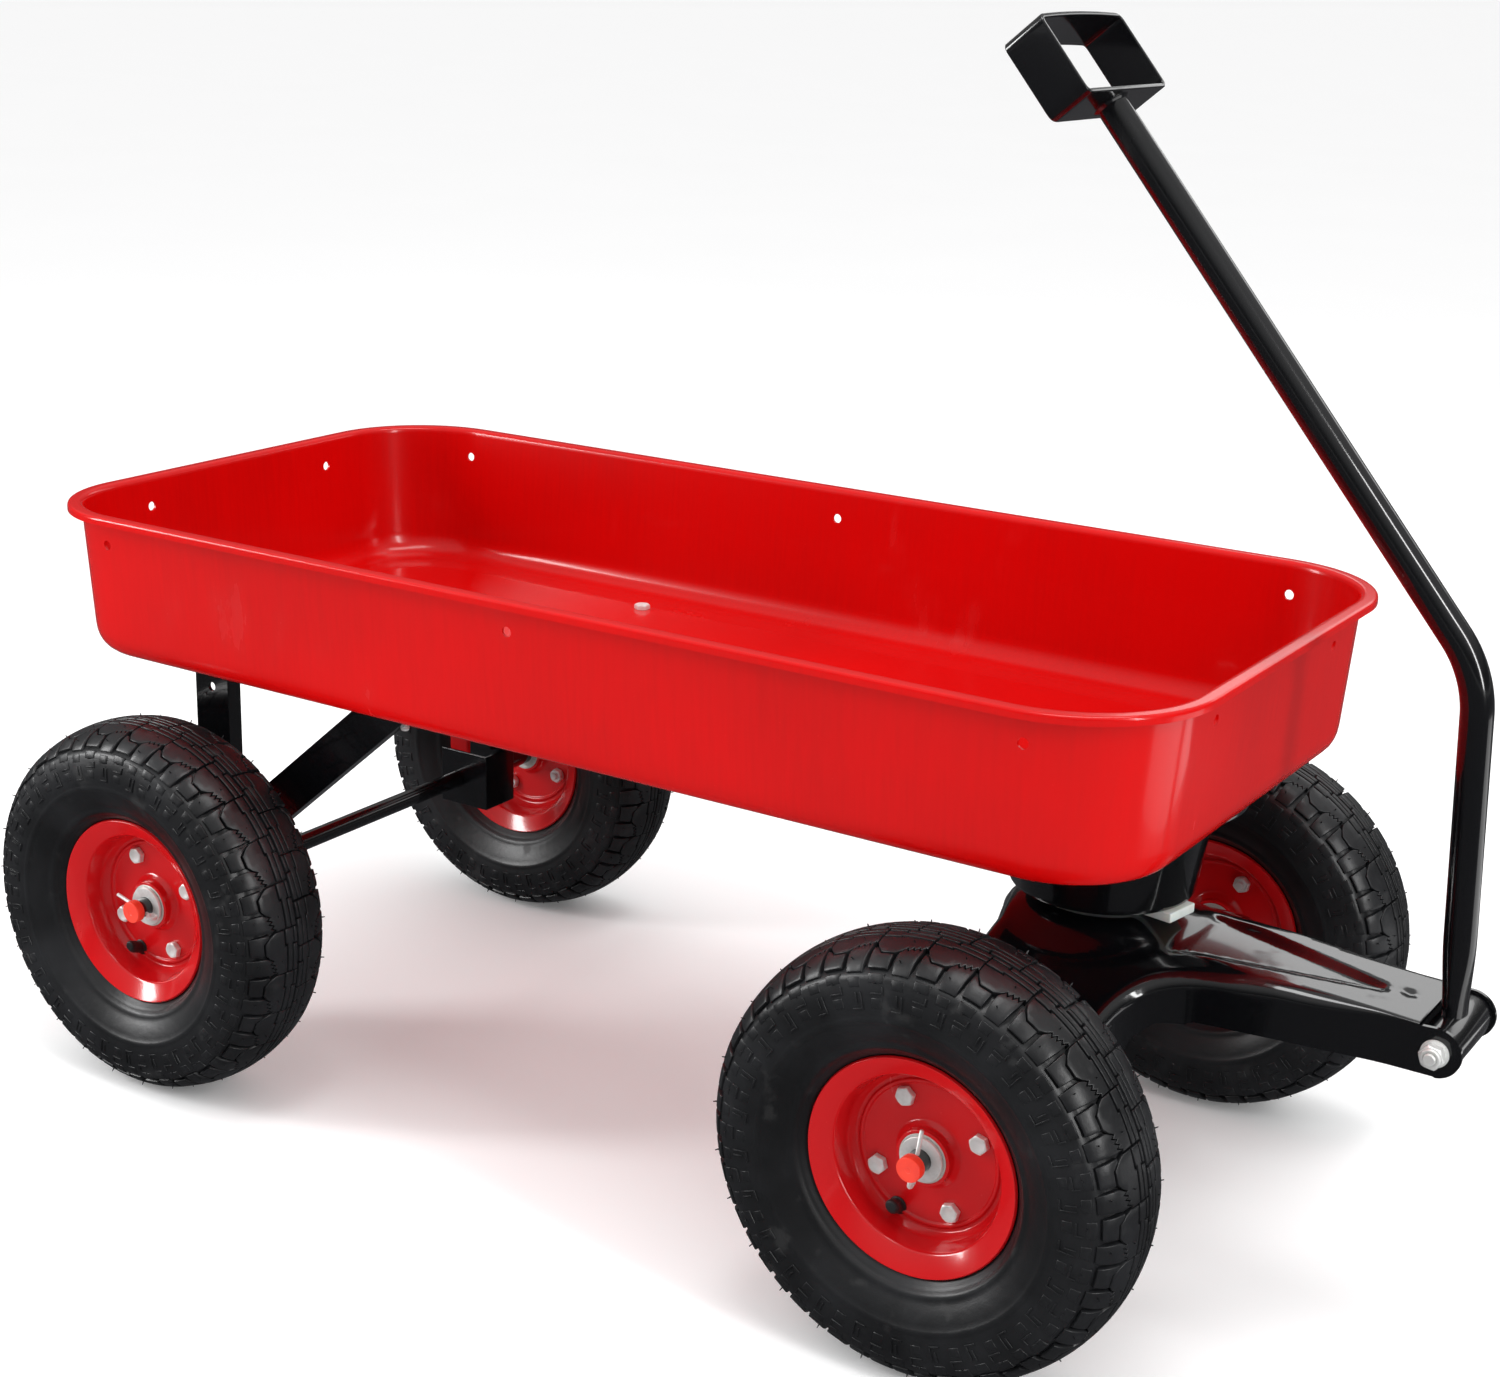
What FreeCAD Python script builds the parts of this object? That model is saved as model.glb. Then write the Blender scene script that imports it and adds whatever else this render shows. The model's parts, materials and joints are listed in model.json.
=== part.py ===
import FreeCAD, Part
import Sketcher
import math
import os

# Child's pull wagon: steel tray on four pneumatic wheels, steered by a bent pull handle.
# Frame: +X forward (towards the handle), +Y to the wagon's left, +Z up, ground at Z = 0.
# The origin is on the ground, under the middle of the wagon's overall box.

Vector = FreeCAD.Vector
Rotation = FreeCAD.Rotation

DIMENSIONS = {
    # tray
    "tray_length": 819.0,
    "tray_width": 400.0,
    "tray_corner": 80.0,
    "tray_lip": 9.0,
    "tray_hem": 5.0,
    "tray_wall": 1.5,
    "tray_rim_height": 384.0,
    "tray_floor_height": 282.0,
    "tray_taper": 7.0,
    "tray_floor_fillet": 20.0,
    "floor_panel_margin": 42.0,
    "floor_panel_ledge": 5.0,
    "floor_panel_rise": 3.0,
    "rail_hole": 6.5,
    "rail_hole_drop": 21.0,
    "rail_hole_side_pitch": 335.0,
    "rail_hole_end_pitch": 180.0,
    # axles and wheels
    "wheel_track": 406.0,
    "front_axle_inset": 106.5,
    "rear_axle_inset": 122.5,
    "axle_diameter": 12.7,
    "axle_overhang": 25.0,
    "axle_fit": 0.05,
    "tyre_diameter": 254.0,
    "tyre_width": 76.0,
    "tyre_tread_half": 28.0,
    "tyre_shoulder_drop": 5.5,
    "tyre_carcass": 6.5,
    "rim_diameter": 127.0,
    "rim_width": 49.4,
    "rim_plate": 2.0,
    "rim_dish_radius": 48.0,
    "bolt_circle": 68.0,
    "rim_bolt": 6.0,
    "rim_bolt_flats": 10.0,
    "rim_bolt_head": 4.0,
    "rim_nut_height": 5.0,
    "rim_bolt_end": 9.0,
    "bearing_outer": 28.6,
    "bearing_width": 7.9,
    "hub_washer": 26.0,
    "hub_washer_thickness": 2.0,
    "hub_gap": 0.3,
    "spacer_diameter": 19.0,
    "split_pin": 2.4,
    "split_pin_length": 30.0,
    "cap_length": 5.0,
    "cap_wall": 1.0,
    "valve_radius": 38.0,
    "valve_diameter": 8.0,
    "valve_length": 15.0,
    "bolt_turn": 63.0,
    "valve_turn": -65.0,
    # rear undercarriage
    "leg_offset": 147.0,
    "leg_width": 30.0,
    "leg_flange": 12.0,
    "leg_plate": 2.5,
    "leg_hole": 6.0,
    "leg_hole_drop": 17.5,
    "leg_foot": 20.0,
    "shoe_depth": 37.0,
    "shoe_height": 43.0,
    "shoe_reach": 29.0,
    "brace_width": 28.0,
    "brace_top_reach": 158.0,
    "brace_foot_rise": 32.0,
    "brace_bolt_inset": 15.0,
    "brace_tab_length": 34.0,
    "brace_bolt": 6.0,
    "brace_bolt_flats": 10.0,
    "brace_bolt_head": 3.5,
    "brace_bolt_length": 25.0,
    "brace_nut_height": 5.0,
    "bolt_clearance": 0.3,
    # bolster and kingpin
    "bolster_top_radius": 64.0,
    "bolster_bottom_radius": 55.0,
    "bolster_height": 63.0,
    "bolster_plate": 2.5,
    "bolster_flange_radius": 82.0,
    "bolster_bolt_radius": 73.0,
    "bolster_bolt": 8.0,
    "bolster_bolt_flats": 13.0,
    "bolster_bolt_head": 4.0,
    "bolster_bolt_length": 23.0,
    "bolster_nut_height": 6.5,
    "bearing_pad_radius": 34.0,
    "bearing_pad_thickness": 6.0,
    "pad_tab_reach": 57.0,
    "pad_tab_width": 26.0,
    "pad_tab_angle": -10.0,
    "kingpin": 16.0,
    "kingpin_flats": 24.0,
    "kingpin_head": 10.0,
    "kingpin_nut_height": 12.0,
    "kingpin_end": 16.0,
    "kingpin_fit": 0.08,
    "running_gap": 0.4,
    # steering yoke
    "yoke_plate": 2.5,
    "yoke_boss_radius": 50.0,
    "yoke_boss_rise": 8.0,
    "yoke_arm_half_span": 150.0,
    "yoke_arm_width": 97.0,
    "yoke_crown_half": 34.0,
    "yoke_arm_end_height": 155.0,
    "yoke_crown_fillet": 60.0,
    "yoke_skirt": 33.0,
    "yoke_foot": 15.0,
    "tongue_reach": 215.5,
    "tongue_root_half": 56.0,
    "tongue_tip_half": 33.0,
    "tongue_straight": 30.0,
    "tongue_fillet": 58.0,
    "tongue_skirt": 31.0,
    "tongue_stop_gap": 1.2,
    # handle
    "pivot_height": 181.5,
    "pivot_bolt": 8.0,
    "pivot_bolt_flats": 13.0,
    "pivot_bolt_head": 5.3,
    "pivot_bolt_end": 12.0,
    "pivot_nut_height": 6.5,
    "pivot_washer_thickness": 1.6,
    "pivot_fit": 0.08,
    "sleeve_diameter": 26.0,
    "ear_margin": 1.5,
    "handle_tube": 18.0,
    "handle_tube_wall": 1.5,
    "handle_lower_length": 206.5,
    "handle_lower_lean": 2.7,
    "handle_upper_length": 368.0,
    "handle_upper_lean": 39.8,
    "handle_bend_radius": 70.0,
    "grip_width": 104.0,
    "grip_depth": 51.0,
    "grip_strip": 27.0,
    "grip_thickness": 3.0,
    "grip_corner": 6.0,
}

doc = FreeCAD.newDocument("PullWagon")
sheet = doc.addObject("Spreadsheet::Sheet", "Sizes")
for row, (alias, number) in enumerate(DIMENSIONS.items(), start=1):
    sheet.set(f"A{row}", alias)
    sheet.set(f"B{row}", str(number))
    sheet.setAlias(f"B{row}", alias)
doc.recompute()


class Size:
    """A number together with the sheet expression that gives it."""

    def __init__(self, value, text):
        self.value = value
        self.text = text

    def _join(self, other, sign, value):
        return Size(value, f"({self.text} {sign} {as_size(other).text})")

    def __add__(self, other):
        return self._join(other, "+", self.value + as_size(other).value)

    def __sub__(self, other):
        return self._join(other, "-", self.value - as_size(other).value)

    def __mul__(self, other):
        return self._join(other, "*", self.value * as_size(other).value)

    def __truediv__(self, other):
        return self._join(other, "/", self.value / as_size(other).value)

    def __radd__(self, other):
        return as_size(other) + self

    def __rsub__(self, other):
        return as_size(other) - self

    def __rmul__(self, other):
        return as_size(other) * self

    def __neg__(self):
        return Size(-self.value, f"(0 - {self.text})")


def as_size(number):
    """Wrap a plain number as a Size; a Size is passed through."""
    if isinstance(number, Size):
        return number
    return Size(float(number), f"({float(number)})")


def cosine(angle):
    """Cosine of a Size in degrees."""
    return Size(math.cos(math.radians(angle.value)), f"cos({angle.text})")


def sine(angle):
    """Sine of a Size in degrees."""
    return Size(math.sin(math.radians(angle.value)), f"sin({angle.text})")


class Dimensions:
    """The sheet's cells as Size attributes."""

    def __getattr__(self, alias):
        return Size(float(getattr(sheet, alias)), f"Sizes.{alias}")


dim = Dimensions()

PLANES = {"XY": "XY_Plane", "XZ": "XZ_Plane", "YZ": "YZ_Plane"}


def bind(thing, **values):
    """Bind properties of a document object to Size expressions."""
    for name, value in values.items():
        thing.setExpression(name, as_size(value).text)


def place(thing, x=0, y=0, z=0, rotation=None):
    """Turn an object, then bind its position to the sheet."""
    if rotation is not None:
        thing.Placement = FreeCAD.Placement(Vector(), rotation)
    for axis, value in zip("xyz", (x, y, z)):
        thing.setExpression(f"Placement.Base.{axis}", as_size(value).text)
    return thing


def arc_centre(start, end, radius, side):
    """Centre of the arc from start to end, on the left (+1) or right (-1) of its chord."""
    half = (end - start) * 0.5
    rise = math.sqrt(max(radius**2 - half.Length**2, 0.0))
    left = Vector(-half.y, half.x, 0).normalize()
    return start + half + left * rise * side


def trace(sketch, outline):
    """Draw a closed outline in a sketch and bind every corner and radius to the sheet.

    Each corner is (x, y) or (x, y, radius, side), where radius and side make the edge that
    leaves the corner an arc with its centre on the left (+1) or right (-1).
    """
    corners = [tuple(as_size(v) for v in corner[:2]) for corner in outline]
    vectors = [Vector(x.value, y.value, 0) for x, y in corners]
    starts = []
    ends = []
    first = sketch.GeometryCount
    for number, corner in enumerate(outline):
        start = vectors[number]
        end = vectors[(number + 1) % len(outline)]
        if len(corner) == 2:
            sketch.addGeometry(Part.LineSegment(start, end), False)
            starts.append(1)
            ends.append(2)
            continue
        radius, side = as_size(corner[2]), corner[3]
        centre = arc_centre(start, end, radius.value, side)
        from_angle = math.atan2(start.y - centre.y, start.x - centre.x)
        to_angle = math.atan2(end.y - centre.y, end.x - centre.x)
        if side < 0:
            from_angle, to_angle = to_angle, from_angle
        circle = Part.Circle(centre, Vector(0, 0, 1), radius.value)
        index = sketch.addGeometry(Part.ArcOfCircle(circle, from_angle, to_angle), False)
        constrain(sketch, ("Radius", index, radius.value), f"arc{index}", radius)
        starts.append(1 if side > 0 else 2)
        ends.append(2 if side > 0 else 1)
    for number, (x, y) in enumerate(corners):
        before = (number - 1) % len(corners)
        edge = first + number
        sketch.addConstraint(
            Sketcher.Constraint("Coincident", first + before, ends[before], edge, starts[number])
        )
        pin_point(sketch, edge, starts[number], x, y)


def pin_point(sketch, edge, end, x, y):
    """Fix one end of an edge at a bound distance from the sketch's origin."""
    for kind, axis, value in (("DistanceX", -2, x), ("DistanceY", -1, y)):
        if value.text in ("(0.0)", "(-0.0)"):
            sketch.addConstraint(Sketcher.Constraint("PointOnObject", edge, end, axis))
        else:
            name = f"{kind[-1].lower()}{edge}e{end}"
            constrain(sketch, (kind, -1, 1, edge, end, value.value), name, value)


def constrain(sketch, definition, name, value):
    """Add a named dimension to a sketch and bind it to the sheet."""
    index = sketch.addConstraint(Sketcher.Constraint(*definition))
    sketch.renameConstraint(index, name)
    sketch.setExpression(f"Constraints.{name}", value.text)


def ring(sketch, x, y, radius):
    """Draw a whole circle in a sketch, bound to the sheet."""
    x, y, radius = as_size(x), as_size(y), as_size(radius)
    circle = Part.Circle(Vector(x.value, y.value, 0), Vector(0, 0, 1), radius.value)
    index = sketch.addGeometry(circle, False)
    constrain(sketch, ("Radius", index, radius.value), f"circle{index}", radius)
    pin_point(sketch, index, 3, x, y)


def sketch_in(body, name, plane, outlines=(), circles=(), offset=None):
    """Make a sketch on one of a body's origin planes and draw its outlines and circles."""
    sketch = body.newObject("Sketcher::SketchObject", name)
    role = PLANES[plane]
    support = next(f for f in body.Origin.OriginFeatures if f.Role == role)
    sketch.AttachmentSupport = [(support, "")]
    sketch.MapMode = "FlatFace"
    if offset is not None:
        bind(sketch, **{"AttachmentOffset.Base.z": offset})
    for outline in outlines:
        trace(sketch, outline)
    for circle in circles:
        ring(sketch, *circle)
    return sketch


def new_body(name):
    """Start a PartDesign body with its own Label."""
    body = doc.addObject("PartDesign::Body", name)
    body.Label = name
    return body


def pad(body, name, plane, length, outlines=(), circles=(), offset=None, middle=False):
    """Pad a closed sketch along its plane's normal (for XZ the normal is -Y)."""
    sketch = sketch_in(body, f"{name}_sketch", plane, outlines, circles, offset)
    feature = body.newObject("PartDesign::Pad", name)
    feature.Profile = sketch
    feature.Midplane = middle
    bind(feature, Length=length)
    doc.recompute()
    return feature


def pocket(body, name, plane, length, outlines=(), circles=(), offset=None, forward=True,
           middle=False):
    """Cut a closed sketch out of a body, along (forward) or against its plane's normal."""
    before = body.Shape.Volume
    sketch = sketch_in(body, f"{name}_sketch", plane, outlines, circles, offset)
    feature = body.newObject("PartDesign::Pocket", name)
    feature.Profile = sketch
    feature.Midplane = middle
    feature.Reversed = forward
    bind(feature, Length=length)
    doc.recompute()
    if body.Shape.Volume > before - 1e-3:
        raise RuntimeError(f"{name} removes nothing")
    return feature


def revolve(body, name, outline, plane="XY"):
    """Turn a closed outline (radius, height) about the sketch's vertical axis."""
    sketch = sketch_in(body, f"{name}_sketch", plane, [outline])
    feature = body.newObject("PartDesign::Revolution", name)
    feature.Profile = sketch
    feature.ReferenceAxis = (sketch, ["V_Axis"])
    feature.Angle = 360
    doc.recompute()
    return feature


def soften(body, name, radius, chosen, kind="Fillet"):
    """Fillet or chamfer the edges of a body's tip that the given test chooses."""
    base = body.Tip
    picked = [f"Edge{n}" for n, edge in enumerate(base.Shape.Edges, start=1) if chosen(edge)]
    if not picked:
        raise RuntimeError(f"{name} finds no edge")
    feature = body.newObject(f"PartDesign::{kind}", name)
    feature.Base = (base, picked)
    bind(feature, **{"Radius" if kind == "Fillet" else "Size": radius})
    doc.recompute()
    return feature


def is_along(edge, axis):
    """True for a straight edge parallel to the axis 'x', 'y' or 'z'."""
    if edge.Curve.TypeId != "Part::GeomLine":
        return False
    span = edge.Vertexes[-1].Point - edge.Vertexes[0].Point
    return abs(abs(getattr(span, axis)) - span.Length) < 1e-4


def boolean(kind, name, base, tool):
    """Make a Part::Cut, Part::Fuse or Part::Common of two objects."""
    result = doc.addObject(f"Part::{kind}", name)
    result.Base = base
    result.Tool = tool
    result.Label = name
    doc.recompute()
    return result


def gather(name, members):
    """Put identical separate solids in one node."""
    group = doc.addObject("Part::Compound", name)
    group.Links = members
    group.Label = name
    doc.recompute()
    return group


def cylinder(name, radius, length, x=0, y=0, z=0, rotation=None):
    """Part::Cylinder with bound size and place; its axis is Z before it is turned."""
    solid = doc.addObject("Part::Cylinder", name)
    solid.Label = name
    bind(solid, Radius=radius, Height=length)
    return place(solid, x, y, z, rotation)


def box(name, length, width, height, x=0, y=0, z=0):
    """Part::Box with bound size and place, from its lowest corner."""
    solid = doc.addObject("Part::Box", name)
    solid.Label = name
    bind(solid, Length=length, Width=width, Height=height)
    return place(solid, x, y, z)


def tube(name, outer, inner, length, x=0, y=0, z=0, rotation=None):
    """A ring or sleeve made in a body: padded annulus along its own Z axis."""
    body = new_body(name)
    pad(body, f"{name}_pad", "XY", length, circles=[(0, 0, outer), (0, 0, inner)])
    place(body, x, y, z, rotation)
    return body


def bolt(name, diameter, flats, head, shank, x=0, y=0, z=0, rotation=None):
    """Hexagon-head bolt: head from Z = 0 up, shank from Z = 0 down."""
    head_solid = doc.addObject("Part::Prism", f"{name}_head")
    head_solid.Polygon = 6
    bind(head_solid, Circumradius=flats / math.sqrt(3), Height=head)
    shank_solid = cylinder(f"{name}_shank", diameter / 2, shank, z=-as_size(shank))
    return place(boolean("Fuse", name, head_solid, shank_solid), x, y, z, rotation)


def nut(name, bore, flats, height, x=0, y=0, z=0, rotation=None):
    """Hexagon nut from Z = 0 up."""
    hexagon = doc.addObject("Part::Prism", f"{name}_hexagon")
    hexagon.Polygon = 6
    bind(hexagon, Circumradius=flats / math.sqrt(3), Height=height)
    hole = cylinder(f"{name}_bore", bore / 2, height + 2, z=-1)
    return place(boolean("Cut", name, hexagon, hole), x, y, z, rotation)


def rounded_rectangle(half_length, half_width, corner, x=0):
    """Counter-clockwise outline of a rectangle with quarter-circle corners."""
    l, w, r = as_size(half_length), as_size(half_width), as_size(corner)
    x = as_size(x)
    return [
        (x - l + r, -w),
        (x + l - r, -w, r, 1),
        (x + l, -w + r),
        (x + l, w - r, r, 1),
        (x + l - r, w),
        (x - l + r, w, r, 1),
        (x - l, w - r),
        (x - l, -w + r, r, 1),
    ]


# ---------------------------------------------------------------------------------------
# Places that several pieces share

FRONT_AXLE_REACH = dim.tray_length / 2 - dim.front_axle_inset
REAR_AXLE_REACH = dim.tray_length / 2 - dim.rear_axle_inset
FORE_REACH = FRONT_AXLE_REACH + dim.tongue_reach + dim.sleeve_diameter / 2 + dim.ear_margin
REAR_REACH = REAR_AXLE_REACH + dim.tyre_diameter / 2
TRAY_X = (REAR_REACH - FORE_REACH) / 2
FRONT_X = TRAY_X + FRONT_AXLE_REACH
REAR_X = TRAY_X - REAR_AXLE_REACH
AXLE_Z = dim.tyre_diameter / 2
HALF_TRACK = dim.wheel_track / 2
AXLE_RADIUS = dim.axle_diameter / 2
HUB_HALF = dim.rim_plate + dim.bearing_width
FLOOR_Z = dim.tray_floor_height
BOLSTER_Z = FLOOR_Z - dim.bolster_height
PAD_Z = BOLSTER_Z - dim.bearing_pad_thickness
BOSS_Z = PAD_Z - dim.running_gap
CROWN_Z = BOSS_Z - dim.yoke_boss_rise
PIVOT_X = FRONT_X + dim.tongue_reach
EAR_RADIUS = dim.sleeve_diameter / 2 + dim.ear_margin
PANEL_Z = FLOOR_Z + dim.floor_panel_rise
DIAGONAL = math.sqrt(0.5)

# Turns that lay a piece's own Z axis along +Y and along -Y
ACROSS = Rotation(Vector(1, 0, 0), -90)
INWARDS = Rotation(Vector(1, 0, 0), 90)

nodes = []


def keep(node):
    """Count an object as a sub-part that is written to its own file."""
    nodes.append(node)
    return node


# ---------------------------------------------------------------------------------------
# Tray

def tray_block(name, inset, base_z, top_z, panel_inset):
    """Tapered block with rounded corners and floor edge: the outside or the hollow of the tray.

    The raised floor panel ends just inside the legs, so that they stand against the flat floor.
    """
    body = new_body(name)
    half_l = dim.tray_length / 2 - dim.tray_lip - dim.tray_taper - inset
    half_w = dim.tray_width / 2 - dim.tray_lip - dim.tray_taper - inset
    corner = dim.tray_corner - dim.tray_lip - dim.tray_taper - inset
    block = pad(body, f"{name}_block", "XY", top_z - base_z,
                [rounded_rectangle(half_l, half_w, corner)], offset=base_z)
    height = dim.tray_rim_height - FLOOR_Z
    block.setExpression("TaperAngle", f"atan({dim.tray_taper.text} / {height.text})")
    doc.recompute()
    low = base_z.value
    soften(body, f"{name}_fillet", dim.tray_floor_fillet - inset,
           lambda e: all(abs(v.Point.z - low) < 1e-4 for v in e.Vertexes))
    panel_l = half_l + inset - dim.floor_panel_margin + panel_inset
    panel_w = dim.leg_offset - dim.floor_panel_ledge + panel_inset
    panel_corner = corner + inset - dim.floor_panel_margin / 2 + panel_inset
    return body, rounded_rectangle(panel_l, panel_w, panel_corner)


def make_tray():
    outer, outer_panel = tray_block("tray_outside", as_size(0), FLOOR_Z, dim.tray_rim_height,
                                    as_size(0))
    pocket(outer, "panel_below", "XY", dim.floor_panel_rise, [outer_panel], offset=FLOOR_Z)
    inner, inner_panel = tray_block("tray_inside", dim.tray_wall, FLOOR_Z + dim.tray_wall,
                                    dim.tray_rim_height + dim.tray_wall, dim.tray_wall)
    pocket(inner, "panel_above", "XY", dim.floor_panel_rise, [inner_panel],
           offset=FLOOR_Z + dim.tray_wall)
    lip = new_body("tray_lip_ring")
    half_l = dim.tray_length / 2
    half_w = dim.tray_width / 2
    outline = rounded_rectangle(half_l, half_w, dim.tray_corner)
    pad(lip, "lip_pad", "XY", dim.tray_hem, [outline], offset=dim.tray_rim_height - dim.tray_hem)
    below = rounded_rectangle(half_l - dim.tray_wall, half_w - dim.tray_wall,
                              dim.tray_corner - dim.tray_wall)
    pocket(lip, "lip_hollow", "XY", dim.tray_hem - dim.tray_wall, [below],
           offset=dim.tray_rim_height - dim.tray_hem)
    top = dim.tray_rim_height.value
    soften(lip, "lip_round", dim.tray_wall * 0.9,
           lambda e: all(abs(v.Point.z - top) < 1e-4 for v in e.Vertexes))
    shell = boolean("Cut", "tray_shell", boolean("Fuse", "tray_solid", outer, lip), inner)
    drills = []
    hole_z = dim.tray_rim_height - dim.rail_hole_drop
    along = Rotation(Vector(0, 1, 0), 90)
    for number, step in enumerate((-1, 0, 1)):
        drills.append(cylinder(f"side_drill_{number}", dim.rail_hole / 2, dim.tray_width + 20,
                               dim.rail_hole_side_pitch * step, dim.tray_width / 2 + 10, hole_z,
                               INWARDS))
    for number, step in enumerate((-0.5, 0.5)):
        drills.append(cylinder(f"end_drill_{number}", dim.rail_hole / 2, dim.tray_length + 20,
                               -dim.tray_length / 2 - 10, dim.rail_hole_end_pitch * step, hole_z,
                               along))
    for side in (-1, 1):
        drills.append(cylinder(f"brace_drill_{side + 1}", dim.brace_bolt / 2 + dim.bolt_clearance, 40,
                               dim.brace_top_reach - REAR_AXLE_REACH,
                               (dim.leg_offset - dim.brace_bolt_inset) * side, FLOOR_Z - 20))
    for number, (sx, sy) in enumerate(((-1, -1), (-1, 1), (1, -1), (1, 1))):
        drills.append(cylinder(f"bolster_drill_{number}",
                               dim.bolster_bolt / 2 + dim.bolt_clearance, 40,
                               FRONT_AXLE_REACH + dim.bolster_bolt_radius * sx * DIAGONAL,
                               dim.bolster_bolt_radius * sy * DIAGONAL, FLOOR_Z - 20))
    tray = boolean("Cut", "tray", shell, gather("tray_drills", drills))
    place(tray, TRAY_X)
    return keep(tray)


make_tray()

# ---------------------------------------------------------------------------------------
# Rear undercarriage: two upright legs, two braces, two axle shoes


def side_pad(body, name, outline, inner_y, thickness, side):
    """Plate parallel to the XZ plane, from inner_y outwards, on the side -1 (right) or +1."""
    offset = -(inner_y + thickness) if side > 0 else inner_y
    return pad(body, name, "XZ", thickness, [outline], offset=offset)


def make_leg(side_name, side):
    body = new_body(f"rear_leg_{side_name}")
    half = dim.leg_width / 2
    foot = dim.leg_foot
    outline = [
        (REAR_X - half, AXLE_Z),
        (REAR_X - half * 0.7, AXLE_Z - foot),
        (REAR_X + half * 0.7, AXLE_Z - foot),
        (REAR_X + half, AXLE_Z),
        (REAR_X + half, FLOOR_Z),
        (REAR_X - half, FLOOR_Z),
    ]
    web_y = dim.leg_offset - dim.leg_plate
    side_pad(body, "web", outline, web_y, dim.leg_plate, side)
    flange = [
        (REAR_X + half - dim.leg_plate, AXLE_Z + foot),
        (REAR_X + half, AXLE_Z + foot),
        (REAR_X + half, FLOOR_Z),
        (REAR_X + half - dim.leg_plate, FLOOR_Z),
    ]
    side_pad(body, "flange", flange, dim.leg_offset - dim.leg_flange, dim.leg_flange, side)
    tab = [
        (REAR_X - half, FLOOR_Z - dim.leg_plate),
        (REAR_X + half, FLOOR_Z - dim.leg_plate),
        (REAR_X + half, FLOOR_Z),
        (REAR_X - half, FLOOR_Z),
    ]
    side_pad(body, "tab", tab, dim.leg_offset - dim.leg_flange * 2, dim.leg_flange * 2, side)
    pocket(body, "holes", "XZ", 400,
           circles=[(REAR_X, FLOOR_Z - dim.leg_hole_drop, dim.leg_hole / 2),
                    (REAR_X, AXLE_Z, AXLE_RADIUS + dim.axle_fit)], middle=True)
    return keep(body)


def make_shoe(side_name, side):
    """Folded plate that carries the axle inboard of the leg."""
    body = new_body(f"axle_shoe_{side_name}")
    bottom = AXLE_Z - dim.leg_foot
    top = bottom + dim.shoe_height
    front = REAR_X + dim.shoe_reach
    rear = REAR_X - dim.leg_width / 2
    cheek = [(rear, bottom), (front, bottom), (front, top), (rear, top)]
    inner_y = dim.leg_offset - dim.shoe_depth
    side_pad(body, "cheek", cheek, inner_y, dim.leg_plate, side)
    wall_x = front - dim.leg_plate
    wall = [(wall_x, bottom), (front, bottom), (front, top), (wall_x, top)]
    side_pad(body, "wall", wall, inner_y, dim.shoe_depth - dim.leg_plate, side)
    floor = [(rear, bottom), (front, bottom), (front, bottom + dim.leg_plate),
             (rear, bottom + dim.leg_plate)]
    side_pad(body, "floor", floor, inner_y, dim.shoe_depth - dim.leg_plate, side)
    pocket(body, "axle_hole", "XZ", 400, circles=[(REAR_X, AXLE_Z, AXLE_RADIUS + dim.axle_fit)],
           middle=True)
    return keep(body)


def make_brace(side_name, side):
    """Diagonal strip with a lower flange and a bolted tab under the tray floor."""
    body = new_body(f"rear_brace_{side_name}")
    foot_x = REAR_X + dim.leg_width / 2
    foot_z = AXLE_Z + dim.brace_foot_rise
    head_x = REAR_X + dim.brace_top_reach
    slope = math.atan2((FLOOR_Z - foot_z).value, (head_x - foot_x).value)
    half = dim.brace_width / 2
    rise_x = half / math.sin(slope)
    rise_z = half / math.cos(slope)
    plate_z = FLOOR_Z - dim.leg_plate
    inner_y = dim.leg_offset - dim.leg_plate * 2
    cut_x = head_x - dim.leg_plate / math.tan(slope)
    web = [
        (foot_x, foot_z - rise_z),
        (cut_x + rise_x, plate_z),
        (cut_x - rise_x, plate_z),
        (foot_x, foot_z + rise_z),
    ]
    side_pad(body, "web", web, inner_y, dim.leg_plate, side)
    thick_z = dim.leg_plate / math.cos(slope)
    start_x = foot_x + dim.shoe_reach - dim.leg_width / 2 + 3
    start_z = foot_z - rise_z + (start_x - foot_x) * math.tan(slope)
    flange = [
        (start_x, start_z),
        (cut_x + rise_x, plate_z),
        (cut_x + rise_x - dim.leg_plate / math.sin(slope), plate_z),
        (start_x, start_z + thick_z),
    ]
    side_pad(body, "flange", flange, dim.leg_offset - dim.leg_flange, dim.leg_flange - dim.leg_plate,
             side)
    half_tab = dim.brace_tab_length / 2
    tab = [
        (head_x - half_tab, plate_z),
        (head_x + half_tab, plate_z),
        (head_x + half_tab, FLOOR_Z),
        (head_x - half_tab, FLOOR_Z),
    ]
    tab_width = dim.brace_bolt_inset * 2 - dim.leg_plate
    side_pad(body, "tab", tab, dim.leg_offset - dim.leg_plate - tab_width, tab_width, side)
    bolt_y = (dim.leg_offset - dim.brace_bolt_inset) * side
    pocket(body, "bolt_hole", "XY", dim.leg_plate + 2, offset=plate_z - 1,
           circles=[(head_x, bolt_y, dim.brace_bolt / 2 + dim.bolt_clearance)])
    return keep(body)


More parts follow.
